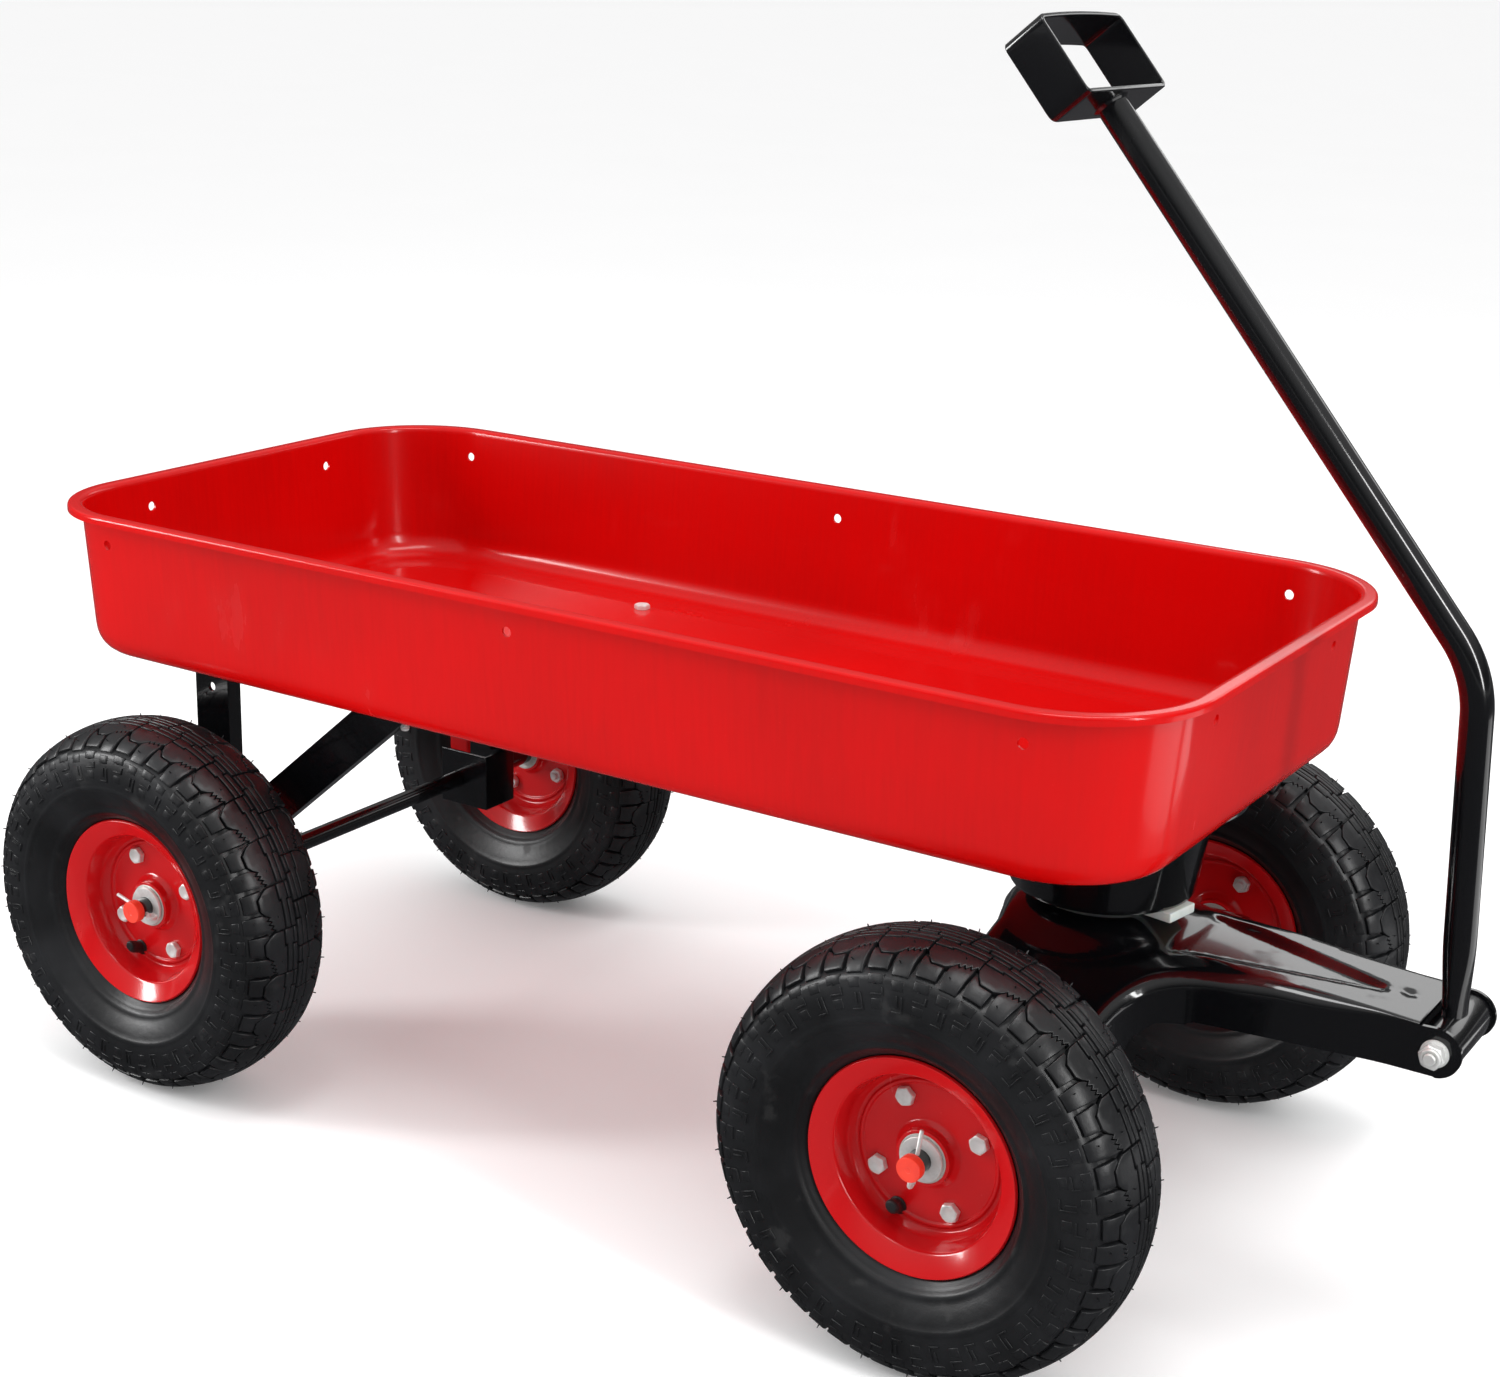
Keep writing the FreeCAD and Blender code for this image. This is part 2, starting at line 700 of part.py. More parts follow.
def make_rear_frame():
    for side_name, side in (("right", -1), ("left", 1)):
        make_leg(side_name, side)
        make_shoe(side_name, side)
        make_brace(side_name, side)
    head_x = REAR_X + dim.brace_top_reach
    bolts = []
    nuts = []
    for side in (-1, 1):
        y = (dim.leg_offset - dim.brace_bolt_inset) * side
        top = PANEL_Z + dim.tray_wall
        bolts.append(bolt(f"brace_bolt_{side + 1}", dim.brace_bolt, dim.brace_bolt_flats,
                          dim.brace_bolt_head, dim.brace_bolt_length, head_x, y, top))
        nuts.append(nut(f"brace_nut_{side + 1}", dim.brace_bolt, dim.brace_bolt_flats,
                        dim.brace_nut_height, head_x, y,
                        FLOOR_Z - dim.leg_plate - dim.brace_nut_height))
    keep(gather("brace_bolts", bolts))
    keep(gather("brace_nuts", nuts))


make_rear_frame()

# ---------------------------------------------------------------------------------------
# Bolster, kingpin and bearing pad


def make_bolster():
    body = new_body("front_bolster")
    wall = dim.bolster_plate
    top = dim.bolster_top_radius
    low = dim.bolster_bottom_radius
    tall = dim.bolster_height
    outline = [
        (dim.kingpin / 2 + 0.1, 0),
        (low, 0),
        (top, tall - wall),
        (dim.bolster_flange_radius, tall - wall),
        (dim.bolster_flange_radius, tall),
        (top - wall, tall),
        (low - wall, wall),
        (dim.kingpin / 2 + 0.1, wall),
    ]
    revolve(body, "drum", outline, "XZ")
    reach = dim.bolster_bolt_radius * DIAGONAL
    hole = dim.bolster_bolt / 2 + dim.bolt_clearance
    holes = [(reach * sx, reach * sy, hole) for sx in (-1, 1) for sy in (-1, 1)]
    pocket(body, "bolt_holes", "XY", wall + 2, circles=holes, offset=tall - wall - 1)
    place(body, FRONT_X, 0, BOLSTER_Z)
    keep(body)
    bolts = []
    nuts = []
    for number, (sx, sy) in enumerate(((-1, -1), (-1, 1), (1, -1), (1, 1))):
        x = FRONT_X + reach * sx
        bolts.append(bolt(f"bolster_bolt_{number}", dim.bolster_bolt, dim.bolster_bolt_flats,
                          dim.bolster_bolt_head, dim.bolster_bolt_length,
                          x, reach * sy, PANEL_Z + dim.tray_wall))
        nuts.append(nut(f"bolster_nut_{number}", dim.bolster_bolt, dim.bolster_bolt_flats,
                        dim.bolster_nut_height, x, reach * sy,
                        FLOOR_Z - wall - dim.bolster_nut_height))
    keep(gather("bolster_bolts", bolts))
    keep(gather("bolster_nuts", nuts))


def make_pad():
    """Nylon bearing disc with one locating tab."""
    body = new_body("steering_bearing_pad")
    hole = (0, 0, dim.kingpin / 2 + dim.kingpin_fit)
    pad(body, "disc", "XY", dim.bearing_pad_thickness, circles=[(0, 0, dim.bearing_pad_radius), hole])
    half = dim.pad_tab_width / 2
    tab = [(dim.bearing_pad_radius * 0.6, -half), (dim.pad_tab_reach, -half),
           (dim.pad_tab_reach, half), (dim.bearing_pad_radius * 0.6, half)]
    pad(body, "tab", "XY", dim.bearing_pad_thickness, [tab])
    place(body, FRONT_X, 0, PAD_Z, Rotation(Vector(0, 0, 1), dim.pad_tab_angle.value))
    return keep(body)


def make_kingpin():
    head_z = BOLSTER_Z + dim.bolster_plate
    stack = dim.bolster_plate + dim.bearing_pad_thickness + dim.yoke_plate + dim.running_gap * 2
    keep(bolt("kingpin", dim.kingpin, dim.kingpin_flats, dim.kingpin_head,
              stack + dim.kingpin_end, FRONT_X, 0, head_z))
    keep(nut("kingpin_nut", dim.kingpin, dim.kingpin_flats, dim.kingpin_nut_height,
             FRONT_X, 0, head_z - stack - dim.kingpin_nut_height))


make_bolster()
make_pad()
make_kingpin()

# ---------------------------------------------------------------------------------------
# Steering yoke: pressed channel, T-shaped in plan, arched across the axle


def yoke_plan(inset):
    """T-shaped plan outline, counter-clockwise, moved in by the plate thickness for the hollow."""
    rear = FRONT_X - dim.yoke_arm_width / 2 + inset
    front = FRONT_X + dim.yoke_arm_width / 2 - inset
    span = dim.yoke_arm_half_span - inset
    root = dim.tongue_root_half - inset
    tip_half = dim.tongue_tip_half - inset
    straight = PIVOT_X - dim.tongue_straight
    tip = PIVOT_X + EAR_RADIUS + 1
    return [
        (rear, -span),
        (front, -span),
        (front, -root),
        (straight, -tip_half),
        (tip, -tip_half),
        (tip, tip_half),
        (straight, tip_half),
        (front, root),
        (front, span),
        (rear, span),
    ]


def yoke_front(inset, open_below):
    """Front view of the yoke: crown, sloping arms and end feet."""
    crown = dim.yoke_crown_half
    span = dim.yoke_arm_half_span + 5
    top = CROWN_Z - inset
    end = dim.yoke_arm_end_height - inset
    if open_below:
        bottom = [(-span, AXLE_Z - 60), (span, AXLE_Z - 60)]
    else:
        low = AXLE_Z - dim.yoke_foot
        skirt = CROWN_Z - dim.yoke_skirt - 4
        bottom = [
            (-span, low),
            (-span * 0.68, low),
            (-dim.tongue_root_half - 4, skirt),
            (dim.tongue_root_half + 4, skirt),
            (span * 0.68, low),
            (span, low),
        ]
    return bottom + [(span, end), (crown, top), (-crown, top), (-span, end)]


def yoke_side(inset, open_below):
    """Side view of the yoke: level over the axle, falling gently to the pivot ears."""
    rear = FRONT_X - dim.yoke_arm_width / 2 - 5
    front = FRONT_X + dim.yoke_arm_width / 2
    tip_z = dim.pivot_height + EAR_RADIUS - inset
    low = AXLE_Z - 60
    if open_below:
        return [(rear, low), (PIVOT_X + 40, low), (PIVOT_X + 40, tip_z), (PIVOT_X, tip_z),
                (front, CROWN_Z - inset), (rear, CROWN_Z - inset)]
    return [
        (rear, low),
        (front + 2, low),
        (front + dim.tongue_fillet * 0.7, CROWN_Z - dim.tongue_skirt - 4),
        (PIVOT_X, dim.pivot_height - EAR_RADIUS, EAR_RADIUS, 1),
        (PIVOT_X + EAR_RADIUS, dim.pivot_height, EAR_RADIUS, 1),
        (PIVOT_X, tip_z),
        (front, CROWN_Z),
        (rear, CROWN_Z),
    ]


def yoke_block(name, inset, open_below):
    """Solid common to the yoke's plan, front and side views."""
    plan = new_body(f"{name}_plan")
    pad(plan, "plan_pad", "XY", 200, [yoke_plan(inset)], offset=AXLE_Z - 70)
    front = dim.yoke_arm_width.value / 2 + FRONT_X.value - inset.value
    root = dim.tongue_root_half.value - inset.value
    soften(plan, "plan_fillet", dim.tongue_fillet + inset,
           lambda e: is_along(e, "z") and abs(e.Vertexes[0].X - front) < 1e-3
           and abs(abs(e.Vertexes[0].Y) - root) < 1e-3)
    view = new_body(f"{name}_view")
    pad(view, "view_pad", "YZ", 600, [yoke_front(inset, open_below)], middle=True)
    crown = dim.yoke_crown_half.value
    top = CROWN_Z.value - inset.value
    soften(view, "crown_fillet", dim.yoke_crown_fillet - inset,
           lambda e: is_along(e, "x") and abs(abs(e.Vertexes[0].Y) - crown) < 1e-3
           and abs(e.Vertexes[0].Z - top) < 1e-3)
    place(view, FRONT_X)
    profile = new_body(f"{name}_profile")
    pad(profile, "profile_pad", "XZ", 400, [yoke_side(inset, open_below)], middle=True)
    return boolean("Common", name, boolean("Common", f"{name}_arch", plan, view), profile)


def make_yoke():
    wall = dim.yoke_plate
    outside = yoke_block("yoke_outside", as_size(0), False)
    inside = yoke_block("yoke_inside", wall, True)
    shell = boolean("Cut", "yoke_shell", outside, inside)
    boss = new_body("yoke_boss")
    radius = dim.yoke_boss_radius
    foot = radius + dim.yoke_boss_rise
    slack = dim.kingpin / 2 + dim.kingpin_fit
    outline = [
        (slack, dim.yoke_boss_rise - wall),
        (radius - wall, dim.yoke_boss_rise - wall),
        (foot - wall * 2, -wall),
        (foot, -wall),
        (foot, 0),
        (radius, dim.yoke_boss_rise),
        (slack, dim.yoke_boss_rise),
    ]
    revolve(boss, "boss_ring", outline, "XZ")
    place(boss, FRONT_X, 0, CROWN_Z)
    well = cylinder("boss_well", foot - wall, 12, FRONT_X, 0, CROWN_Z - 10)
    opened = boolean("Cut", "yoke_open", shell, well)
    joined = boolean("Fuse", "yoke_joined", opened, boss)
    tip_inner = dim.tongue_tip_half - wall
    throat_x = PIVOT_X - dim.handle_tube / 2 - dim.tongue_stop_gap
    throat = box("yoke_throat", 80, tip_inner * 2, 80, throat_x, -tip_inner, dim.pivot_height - 40)
    open_front = boolean("Cut", "yoke_fork", joined, throat)
    axle_hole = cylinder("yoke_axle_hole", AXLE_RADIUS + dim.axle_fit, dim.wheel_track,
                         FRONT_X, HALF_TRACK, AXLE_Z, INWARDS)
    pivot_hole = cylinder("yoke_pivot_hole", dim.pivot_bolt / 2 + 0.02, dim.wheel_track,
                          PIVOT_X, HALF_TRACK, dim.pivot_height, INWARDS)
    holes = gather("yoke_holes", [axle_hole, pivot_hole])
    return keep(boolean("Cut", "steering_yoke", open_front, holes))


make_yoke()

# ---------------------------------------------------------------------------------------
# Axles and what is threaded on them


def make_axle(end_name, axle_x, mount_half, pin_turn):
    """One axle with its spacers, washers, split pins and end caps on both sides."""
    tip = HALF_TRACK + dim.axle_overhang
    pin_a = HALF_TRACK + dim.axle_overhang - dim.cap_length - dim.split_pin
    rod = cylinder(f"{end_name}_rod", AXLE_RADIUS, tip * 2, axle_x, -tip, AXLE_Z, ACROSS)
    turn = Rotation(Vector(0, 1, 0), pin_turn)
    pin_hole_length = dim.axle_diameter + 4
    reach_x = pin_hole_length / 2 * math.sin(math.radians(pin_turn))
    reach_z = pin_hole_length / 2 * math.cos(math.radians(pin_turn))
    drills = []
    spacers = []
    washers = []
    pins = []
    caps = []
    for side_name, side in (("right", -1), ("left", 1)):
        outwards = ACROSS if side > 0 else INWARDS
        drills.append(cylinder(f"{end_name}_pin_hole_{side_name}", dim.split_pin / 2 + 0.05,
                               pin_hole_length, axle_x - reach_x, pin_a * side,
                               AXLE_Z - reach_z, turn))
        bore = AXLE_RADIUS + dim.axle_fit
        spacer_length = HALF_TRACK - HUB_HALF - dim.hub_gap - mount_half
        spacers.append(tube(f"{end_name}_spacer_{side_name}", dim.spacer_diameter / 2, bore,
                            spacer_length, axle_x, mount_half * side, AXLE_Z, outwards))
        washers.append(tube(f"{end_name}_washer_{side_name}", dim.hub_washer / 2, bore,
                            dim.hub_washer_thickness, axle_x,
                            (HALF_TRACK + HUB_HALF + dim.hub_gap) * side, AXLE_Z, outwards))
        eye = doc.addObject("Part::Torus", f"{end_name}_eye_{side_name}")
        bind(eye, Radius1=dim.split_pin * 1.1, Radius2=dim.split_pin / 2)
        eye_z = AXLE_RADIUS + dim.cap_wall + 0.3 + dim.split_pin * 1.6
        place(eye, rotation=Rotation(Vector(0, 1, 0), 90), z=-eye_z)
        leg = cylinder(f"{end_name}_leg_{side_name}", dim.split_pin / 2, dim.split_pin_length,
                       z=dim.split_pin * 1.1 - eye_z)
        pin = boolean("Fuse", f"{end_name}_split_pin_{side_name}", eye, leg)
        pins.append(place(pin, axle_x, pin_a * side, AXLE_Z, turn))
        cap = new_body(f"{end_name}_cap_{side_name}")
        outer = AXLE_RADIUS + dim.cap_wall
        revolve(cap, "cap_shell", [
            (0, dim.cap_length),
            (AXLE_RADIUS, dim.cap_length),
            (AXLE_RADIUS, 0),
            (outer, 0),
            (outer, dim.cap_length + dim.cap_wall),
            (0, dim.cap_length + dim.cap_wall),
        ], "XZ")
        caps.append(place(cap, axle_x, (tip - dim.cap_length) * side, AXLE_Z, outwards))
    keep(boolean("Cut", f"{end_name}_axle", rod, gather(f"{end_name}_pin_holes", drills)))
    keep(gather(f"{end_name}_axle_spacers", spacers))
    keep(gather(f"{end_name}_hub_washers", washers))
    keep(gather(f"{end_name}_split_pins", pins))
    keep(gather(f"{end_name}_axle_caps", caps))


make_axle("rear", REAR_X, dim.leg_offset, -75)
make_axle("front", FRONT_X, dim.yoke_arm_half_span, 8)

# ---------------------------------------------------------------------------------------
# Wheels. Outlines are (radius, distance outwards from the wheel's middle plane).


def tyre_outline():
    """Closed section of the tyre: tread, sidewalls and two beads, hollow and open to the rim."""
    crown = dim.tyre_diameter / 2
    shoulder = crown - dim.tyre_shoulder_drop
    tread = dim.tyre_tread_half
    wide = dim.tyre_width / 2
    carcass = dim.tyre_carcass
    edge = dim.rim_diameter / 2
    lip = dim.rim_width / 2
    dish = dim.rim_dish_radius
    crown_radius = (tread * tread + dim.tyre_shoulder_drop * dim.tyre_shoulder_drop) / (
        dim.tyre_shoulder_drop * 2)
    tall = crown - edge
    inner_tread = tread - 6
    side = [
        (dish + 3, 7),
        (dish + 5.1, lip - 8.8),
        (edge + 0.9, lip - 1.8),
        (edge + 2.2, lip + 0.9),
        (edge + tall * 0.37, wide - 0.6),
        (edge + tall * 0.59, wide),
        (edge + tall * 0.811, wide - 3.4),
        (shoulder, tread),
    ]
    inside = [
        (shoulder - carcass, inner_tread),
        (shoulder - carcass - 4, wide - carcass - 4.4),
        (edge + tall * 0.575, wide - carcass * 0.75),
        (edge + tall * 0.34, wide - carcass * 0.85),
        (edge + 3.6, lip - 5.4),
        (dish + 9, 9),
    ]
    across = mirrored(side)
    side[-1] += (crown_radius, -1)
    return side + across + mirrored(inside) + inside


def mirrored(points):
    """The same points on the other side of the wheel's middle plane, in reverse order."""
    return [(r, -as_size(a)) for r, a in reversed(points)]


def rim_outline(side):
    """Closed section of one pressed rim half; side +1 is the outer half, -1 the inner."""
    plate = dim.rim_plate
    edge = dim.rim_diameter / 2
    lip = dim.rim_width / 2
    dish = dim.rim_dish_radius
    pocket_radius = dim.bearing_outer / 2
    hub_top = HUB_HALF
    half = [
        (AXLE_RADIUS + 5, 0),
        (dish, 0),
        (dish + 2.2, plate + 3),
        (dish + 4.5, lip - 8.5),
        (edge + 0.5, lip - 1.5),
        (edge - 1, lip),
        (dish + 2.5, lip - 7.2),
        (dish, plate + 3.4),
        (dish - 3, plate),
        (dish - 4.5, plate),
        (dish - 5.3, plate + 1.2),
        (dish - 7, plate + 1.2),
        (dish - 7.8, plate),
        (pocket_radius + plate + 3, plate),
        (pocket_radius + plate, plate + 3),
        (pocket_radius + plate, hub_top),
        (pocket_radius, hub_top),
        (pocket_radius, plate),
        (AXLE_RADIUS + 5, plate),
    ]
    return [(r, as_size(a) * side) for r, a in half]


def make_rim_half(name, side, place_wheel):
    body = new_body(name)
    revolve(body, "pressing", rim_outline(side))
    reach = dim.bolt_circle / 2
    holes = []
    for quarter in range(4):
        angle = math.radians(quarter * 90 + dim.bolt_turn.value)
        holes.append((reach * math.cos(angle), reach * math.sin(angle), dim.rim_bolt / 2 + 0.1))
    if side > 0:
        turn = math.radians(dim.valve_turn.value)
        holes.append((dim.valve_radius * math.cos(turn), dim.valve_radius * math.sin(turn),
                      dim.valve_diameter / 2 + 0.1))
    pocket(body, "bolt_holes", "XZ", dim.rim_width, circles=holes, middle=True)
    return keep(place_wheel(body))


def make_wheel(wheel_name, axle_x, side):
    """Tyre, two rim halves, bolts, nuts, bearings and valve, outer face towards side."""
    rotation = Rotation() if side > 0 else Rotation(Vector(0, 0, 1), 180)

    def place_wheel(thing):
        return place(thing, axle_x, HALF_TRACK * side, AXLE_Z, rotation)

    tyre = new_body(f"{wheel_name}_tyre")
    revolve(tyre, "carcass", tyre_outline())
    keep(place_wheel(tyre))
    make_rim_half(f"{wheel_name}_rim_outer", 1, place_wheel)
    make_rim_half(f"{wheel_name}_rim_inner", -1, place_wheel)
    reach = dim.bolt_circle / 2
    bolts = []
    nuts = []
    for quarter in range(4):
        angle = math.radians(quarter * 90 + dim.bolt_turn.value)
        x = reach * math.cos(angle)
        z = reach * math.sin(angle)
        bolts.append(bolt(f"{wheel_name}_bolt_{quarter}", dim.rim_bolt, dim.rim_bolt_flats,
                          dim.rim_bolt_head, dim.rim_plate * 2 + dim.rim_bolt_end,
                          x, dim.rim_plate, z, ACROSS))
        nuts.append(nut(f"{wheel_name}_nut_{quarter}", dim.rim_bolt, dim.rim_bolt_flats,
                        dim.rim_nut_height, x, -dim.rim_plate, z, INWARDS))
    keep(place_wheel(gather(f"{wheel_name}_rim_bolts", bolts)))
    keep(place_wheel(gather(f"{wheel_name}_rim_nuts", nuts)))
    bearings = []
    for bearing_side, turn in ((1, ACROSS), (-1, INWARDS)):
        bearings.append(tube(f"{wheel_name}_bearing_{bearing_side + 1}", dim.bearing_outer / 2,
                             AXLE_RADIUS + dim.axle_fit, dim.bearing_width,
                             0, dim.rim_plate * bearing_side, 0, turn))
    keep(place_wheel(gather(f"{wheel_name}_bearings", bearings)))
    turn = math.radians(dim.valve_turn.value)
    stem = new_body(f"{wheel_name}_valve_stem")
    radius = dim.valve_diameter / 2
    revolve(stem, "stem", [
        (0, 0),
        (radius, 0),
        (radius, dim.valve_length - 1),
        (radius - 1, dim.valve_length),
        (0, dim.valve_length),
    ], "XZ")
    place(stem, dim.valve_radius * math.cos(turn), 0, dim.valve_radius * math.sin(turn), ACROSS)
    keep(place_wheel(gather(f"{wheel_name}_valve", [stem])))


for wheel, wheel_x, wheel_side in (
    ("rear_right", REAR_X, -1),
    ("rear_left", REAR_X, 1),
    ("front_right", FRONT_X, -1),
    ("front_left", FRONT_X, 1),
):
    make_wheel(wheel, wheel_x, wheel_side)

# ---------------------------------------------------------------------------------------
# Pull handle


def handle_points():
    """Lower end, bend corner and upper end of the handle's centre line (X, Z)."""
    low = dim.handle_lower_length
    up = dim.handle_upper_length
    corner_x = PIVOT_X - low * sine(dim.handle_lower_lean)
    corner_z = dim.pivot_height + low * cosine(dim.handle_lower_lean)
    top_x = corner_x - up * sine(dim.handle_upper_lean)
    top_z = corner_z + up * cosine(dim.handle_upper_lean)
    return (PIVOT_X, dim.pivot_height), (corner_x, corner_z), (top_x, top_z)


def make_handle():
    (low_x, low_z), (corner_x, corner_z), (top_x, top_z) = handle_points()
    bend = dim.handle_upper_lean - dim.handle_lower_lean
    half_turn = Size(math.tan(math.radians(bend.value / 2)), f"tan({bend.text} / 2)")
    cut = dim.handle_bend_radius * half_turn
    arc_start = (corner_x + cut * sine(dim.handle_lower_lean),
                 corner_z - cut * cosine(dim.handle_lower_lean))
    arc_end = (corner_x - cut * sine(dim.handle_upper_lean),
               corner_z + cut * cosine(dim.handle_upper_lean))
    start_x = low_x - (dim.sleeve_diameter / 2 - 3) * sine(dim.handle_lower_lean)
    start_z = low_z + (dim.sleeve_diameter / 2 - 3) * cosine(dim.handle_lower_lean)
    tube_solid = doc.addObject("Part::Feature", "handle_sweep")
    radius = dim.handle_tube.value / 2
    first = Vector(start_x.value, 0, start_z.value)
    second = Vector(arc_start[0].value, 0, arc_start[1].value)
    third = Vector(arc_end[0].value, 0, arc_end[1].value)
    last = Vector(top_x.value, 0, top_z.value)
    toward = Vector(-math.cos(math.radians(dim.handle_lower_lean.value)), 0,
                    -math.sin(math.radians(dim.handle_lower_lean.value)))
    centre = second + toward * dim.handle_bend_radius.value
    middle_way = ((second - centre) + (third - centre)).normalize()
    middle = centre + middle_way * dim.handle_bend_radius.value
    spine = Part.Wire([
        Part.LineSegment(first, second).toShape(),
        Part.Arc(second, middle, third).toShape(),
        Part.LineSegment(third, last).toShape(),
    ])

    def swept(section_radius):
        circle = Part.Circle(first, second - first, section_radius).toShape()
        return spine.makePipeShell([Part.Wire(circle)], True, False)

    tube_solid.Shape = swept(radius).cut(swept(radius - dim.handle_tube_wall.value))
    sleeve_cut = cylinder("handle_cope", dim.sleeve_diameter / 2, dim.wheel_track,
                          PIVOT_X, HALF_TRACK, dim.pivot_height, INWARDS)
    keep(boolean("Cut", "handle_tube", tube_solid, sleeve_cut))
    inner_half = dim.tongue_tip_half - dim.yoke_plate - dim.running_gap
    keep(tube("handle_sleeve", dim.sleeve_diameter / 2, dim.pivot_bolt / 2 + dim.pivot_fit,
              inner_half * 2, PIVOT_X, -inner_half, dim.pivot_height, ACROSS))
    ear_half = dim.tongue_tip_half
    washer = dim.pivot_washer_thickness
    keep(bolt("handle_pivot_bolt", dim.pivot_bolt, dim.pivot_bolt_flats, dim.pivot_bolt_head,
              ear_half * 2 + dim.pivot_bolt_end, PIVOT_X, ear_half, dim.pivot_height, ACROSS))
    keep(tube("handle_pivot_washer", dim.pivot_bolt, dim.pivot_bolt / 2 + 0.02, washer,
              PIVOT_X, -ear_half, dim.pivot_height, INWARDS))
    keep(nut("handle_pivot_nut", dim.pivot_bolt, dim.pivot_bolt_flats, dim.pivot_nut_height,
             PIVOT_X, -ear_half - washer, dim.pivot_height, INWARDS))
    grip = new_body("handle_grip")
    half = dim.grip_width / 2
    deep = dim.grip_depth
    skin = dim.grip_thickness
    corner = dim.grip_corner
    outline = grip_outline(half, deep, corner, as_size(0))
    hollow = grip_outline(half - skin, deep - skin, corner - skin, skin)
    pad(grip, "strip", "YZ", dim.grip_strip, [outline, hollow], middle=True)
    tilt = Rotation(Vector(0, 1, 0), -dim.handle_upper_lean.value)
    keep(place(grip, top_x, 0, top_z, tilt))


def grip_outline(half, deep, corner, low):
    """Rounded rectangle in the (Y, Z) plane, from low up to deep."""
    return [
        (-half + corner, low),
        (half - corner, low, corner, 1),
        (half, low + corner),
        (half, deep - corner, corner, 1),
        (half - corner, deep),
        (-half + corner, deep, corner, 1),
        (-half, deep - corner),
        (-half, low + corner, corner, 1),
    ]


make_handle()

# ---------------------------------------------------------------------------------------
# Check every object, then write one file per node

doc.recompute()
for thing in doc.Objects:
    if "Invalid" in thing.State or "Error" in thing.State:
        raise RuntimeError(f"{thing.Label} did not build: {thing.State}")
os.makedirs("parts", exist_ok=True)
for node in nodes:
    if node.Shape.isNull() or not node.Shape.isValid():
        raise RuntimeError(f"{node.Label} has no valid shape")
    node.Shape.exportStep(f"parts/{node.Label}.step")
    limits = node.Shape.BoundBox
    print(f"{node.Label}: {len(node.Shape.Solids)} solids, {node.Shape.Volume:.0f} mm3, "
          f"x {limits.XMin:.1f}..{limits.XMax:.1f}, y {limits.YMin:.1f}..{limits.YMax:.1f}, "
          f"z {limits.ZMin:.1f}..{limits.ZMax:.1f}")
print(f"{len(nodes)} nodes")
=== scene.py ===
"""Child's pull wagon: the finished pieces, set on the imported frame, in a plain pale studio."""

import json
import logging
import math
from collections.abc import Callable, Sequence
from dataclasses import dataclass, field
from enum import Enum

import bmesh
import bpy
import numpy as np
from mathutils import Matrix, Vector
from mathutils.geometry import delaunay_2d_cdt

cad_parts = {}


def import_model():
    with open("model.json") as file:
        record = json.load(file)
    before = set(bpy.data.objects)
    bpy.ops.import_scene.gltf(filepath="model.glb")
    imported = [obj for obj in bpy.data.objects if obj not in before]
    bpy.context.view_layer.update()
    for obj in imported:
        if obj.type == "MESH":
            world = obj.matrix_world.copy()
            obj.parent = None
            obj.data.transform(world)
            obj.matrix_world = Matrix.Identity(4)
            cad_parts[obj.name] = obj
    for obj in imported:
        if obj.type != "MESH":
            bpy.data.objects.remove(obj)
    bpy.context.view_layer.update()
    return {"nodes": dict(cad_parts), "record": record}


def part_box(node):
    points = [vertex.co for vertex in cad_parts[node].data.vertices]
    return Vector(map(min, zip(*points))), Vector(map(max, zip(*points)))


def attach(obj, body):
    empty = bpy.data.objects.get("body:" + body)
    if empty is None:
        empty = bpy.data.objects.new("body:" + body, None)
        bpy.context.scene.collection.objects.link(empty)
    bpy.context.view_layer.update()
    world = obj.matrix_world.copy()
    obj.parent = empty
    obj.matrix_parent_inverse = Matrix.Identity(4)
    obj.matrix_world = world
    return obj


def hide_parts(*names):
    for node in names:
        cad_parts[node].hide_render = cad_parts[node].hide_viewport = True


Point = tuple[float, float]
Triple = tuple[float, float, float]
Colour = Triple

MM = 0.001
LOG = logging.getLogger("pull_wagon")


# ---------------------------------------------------------------------------
# Shader graph


class Wire:
    """A shader socket that takes part in Python arithmetic."""

    def __init__(self, graph: "Graph", socket: bpy.types.NodeSocket) -> None:
        """Wrap one output socket of a graph."""
        self.graph = graph
        self.socket = socket

    def _math(self, operation: str, other: "Wire | float", swapped: bool = False) -> "Wire":
        """Add a Math node on this value and another.

        Args:
            operation: the Math node's operation.
            other: the second value, a wire or a number.
            swapped: whether the other value comes first.

        Returns:
            The node's result.
        """
        first, second = (other, self) if swapped else (self, other)
        made = self.graph.node("ShaderNodeMath", {"operation": operation}, {0: first, 1: second})
        return Wire(self.graph, made.outputs[0])

    def __add__(self, other: "Wire | float") -> "Wire":
        """Sum."""
        return self._math("ADD", other)

    def __radd__(self, other: float) -> "Wire":
        """Sum with a number first."""
        return self._math("ADD", other, True)

    def __sub__(self, other: "Wire | float") -> "Wire":
        """Difference."""
        return self._math("SUBTRACT", other)

    def __rsub__(self, other: float) -> "Wire":
        """Difference from a number."""
        return self._math("SUBTRACT", other, True)

    def __mul__(self, other: "Wire | float") -> "Wire":
        """Product."""
        return self._math("MULTIPLY", other)

    def __rmul__(self, other: float) -> "Wire":
        """Product with a number first."""
        return self._math("MULTIPLY", other, True)


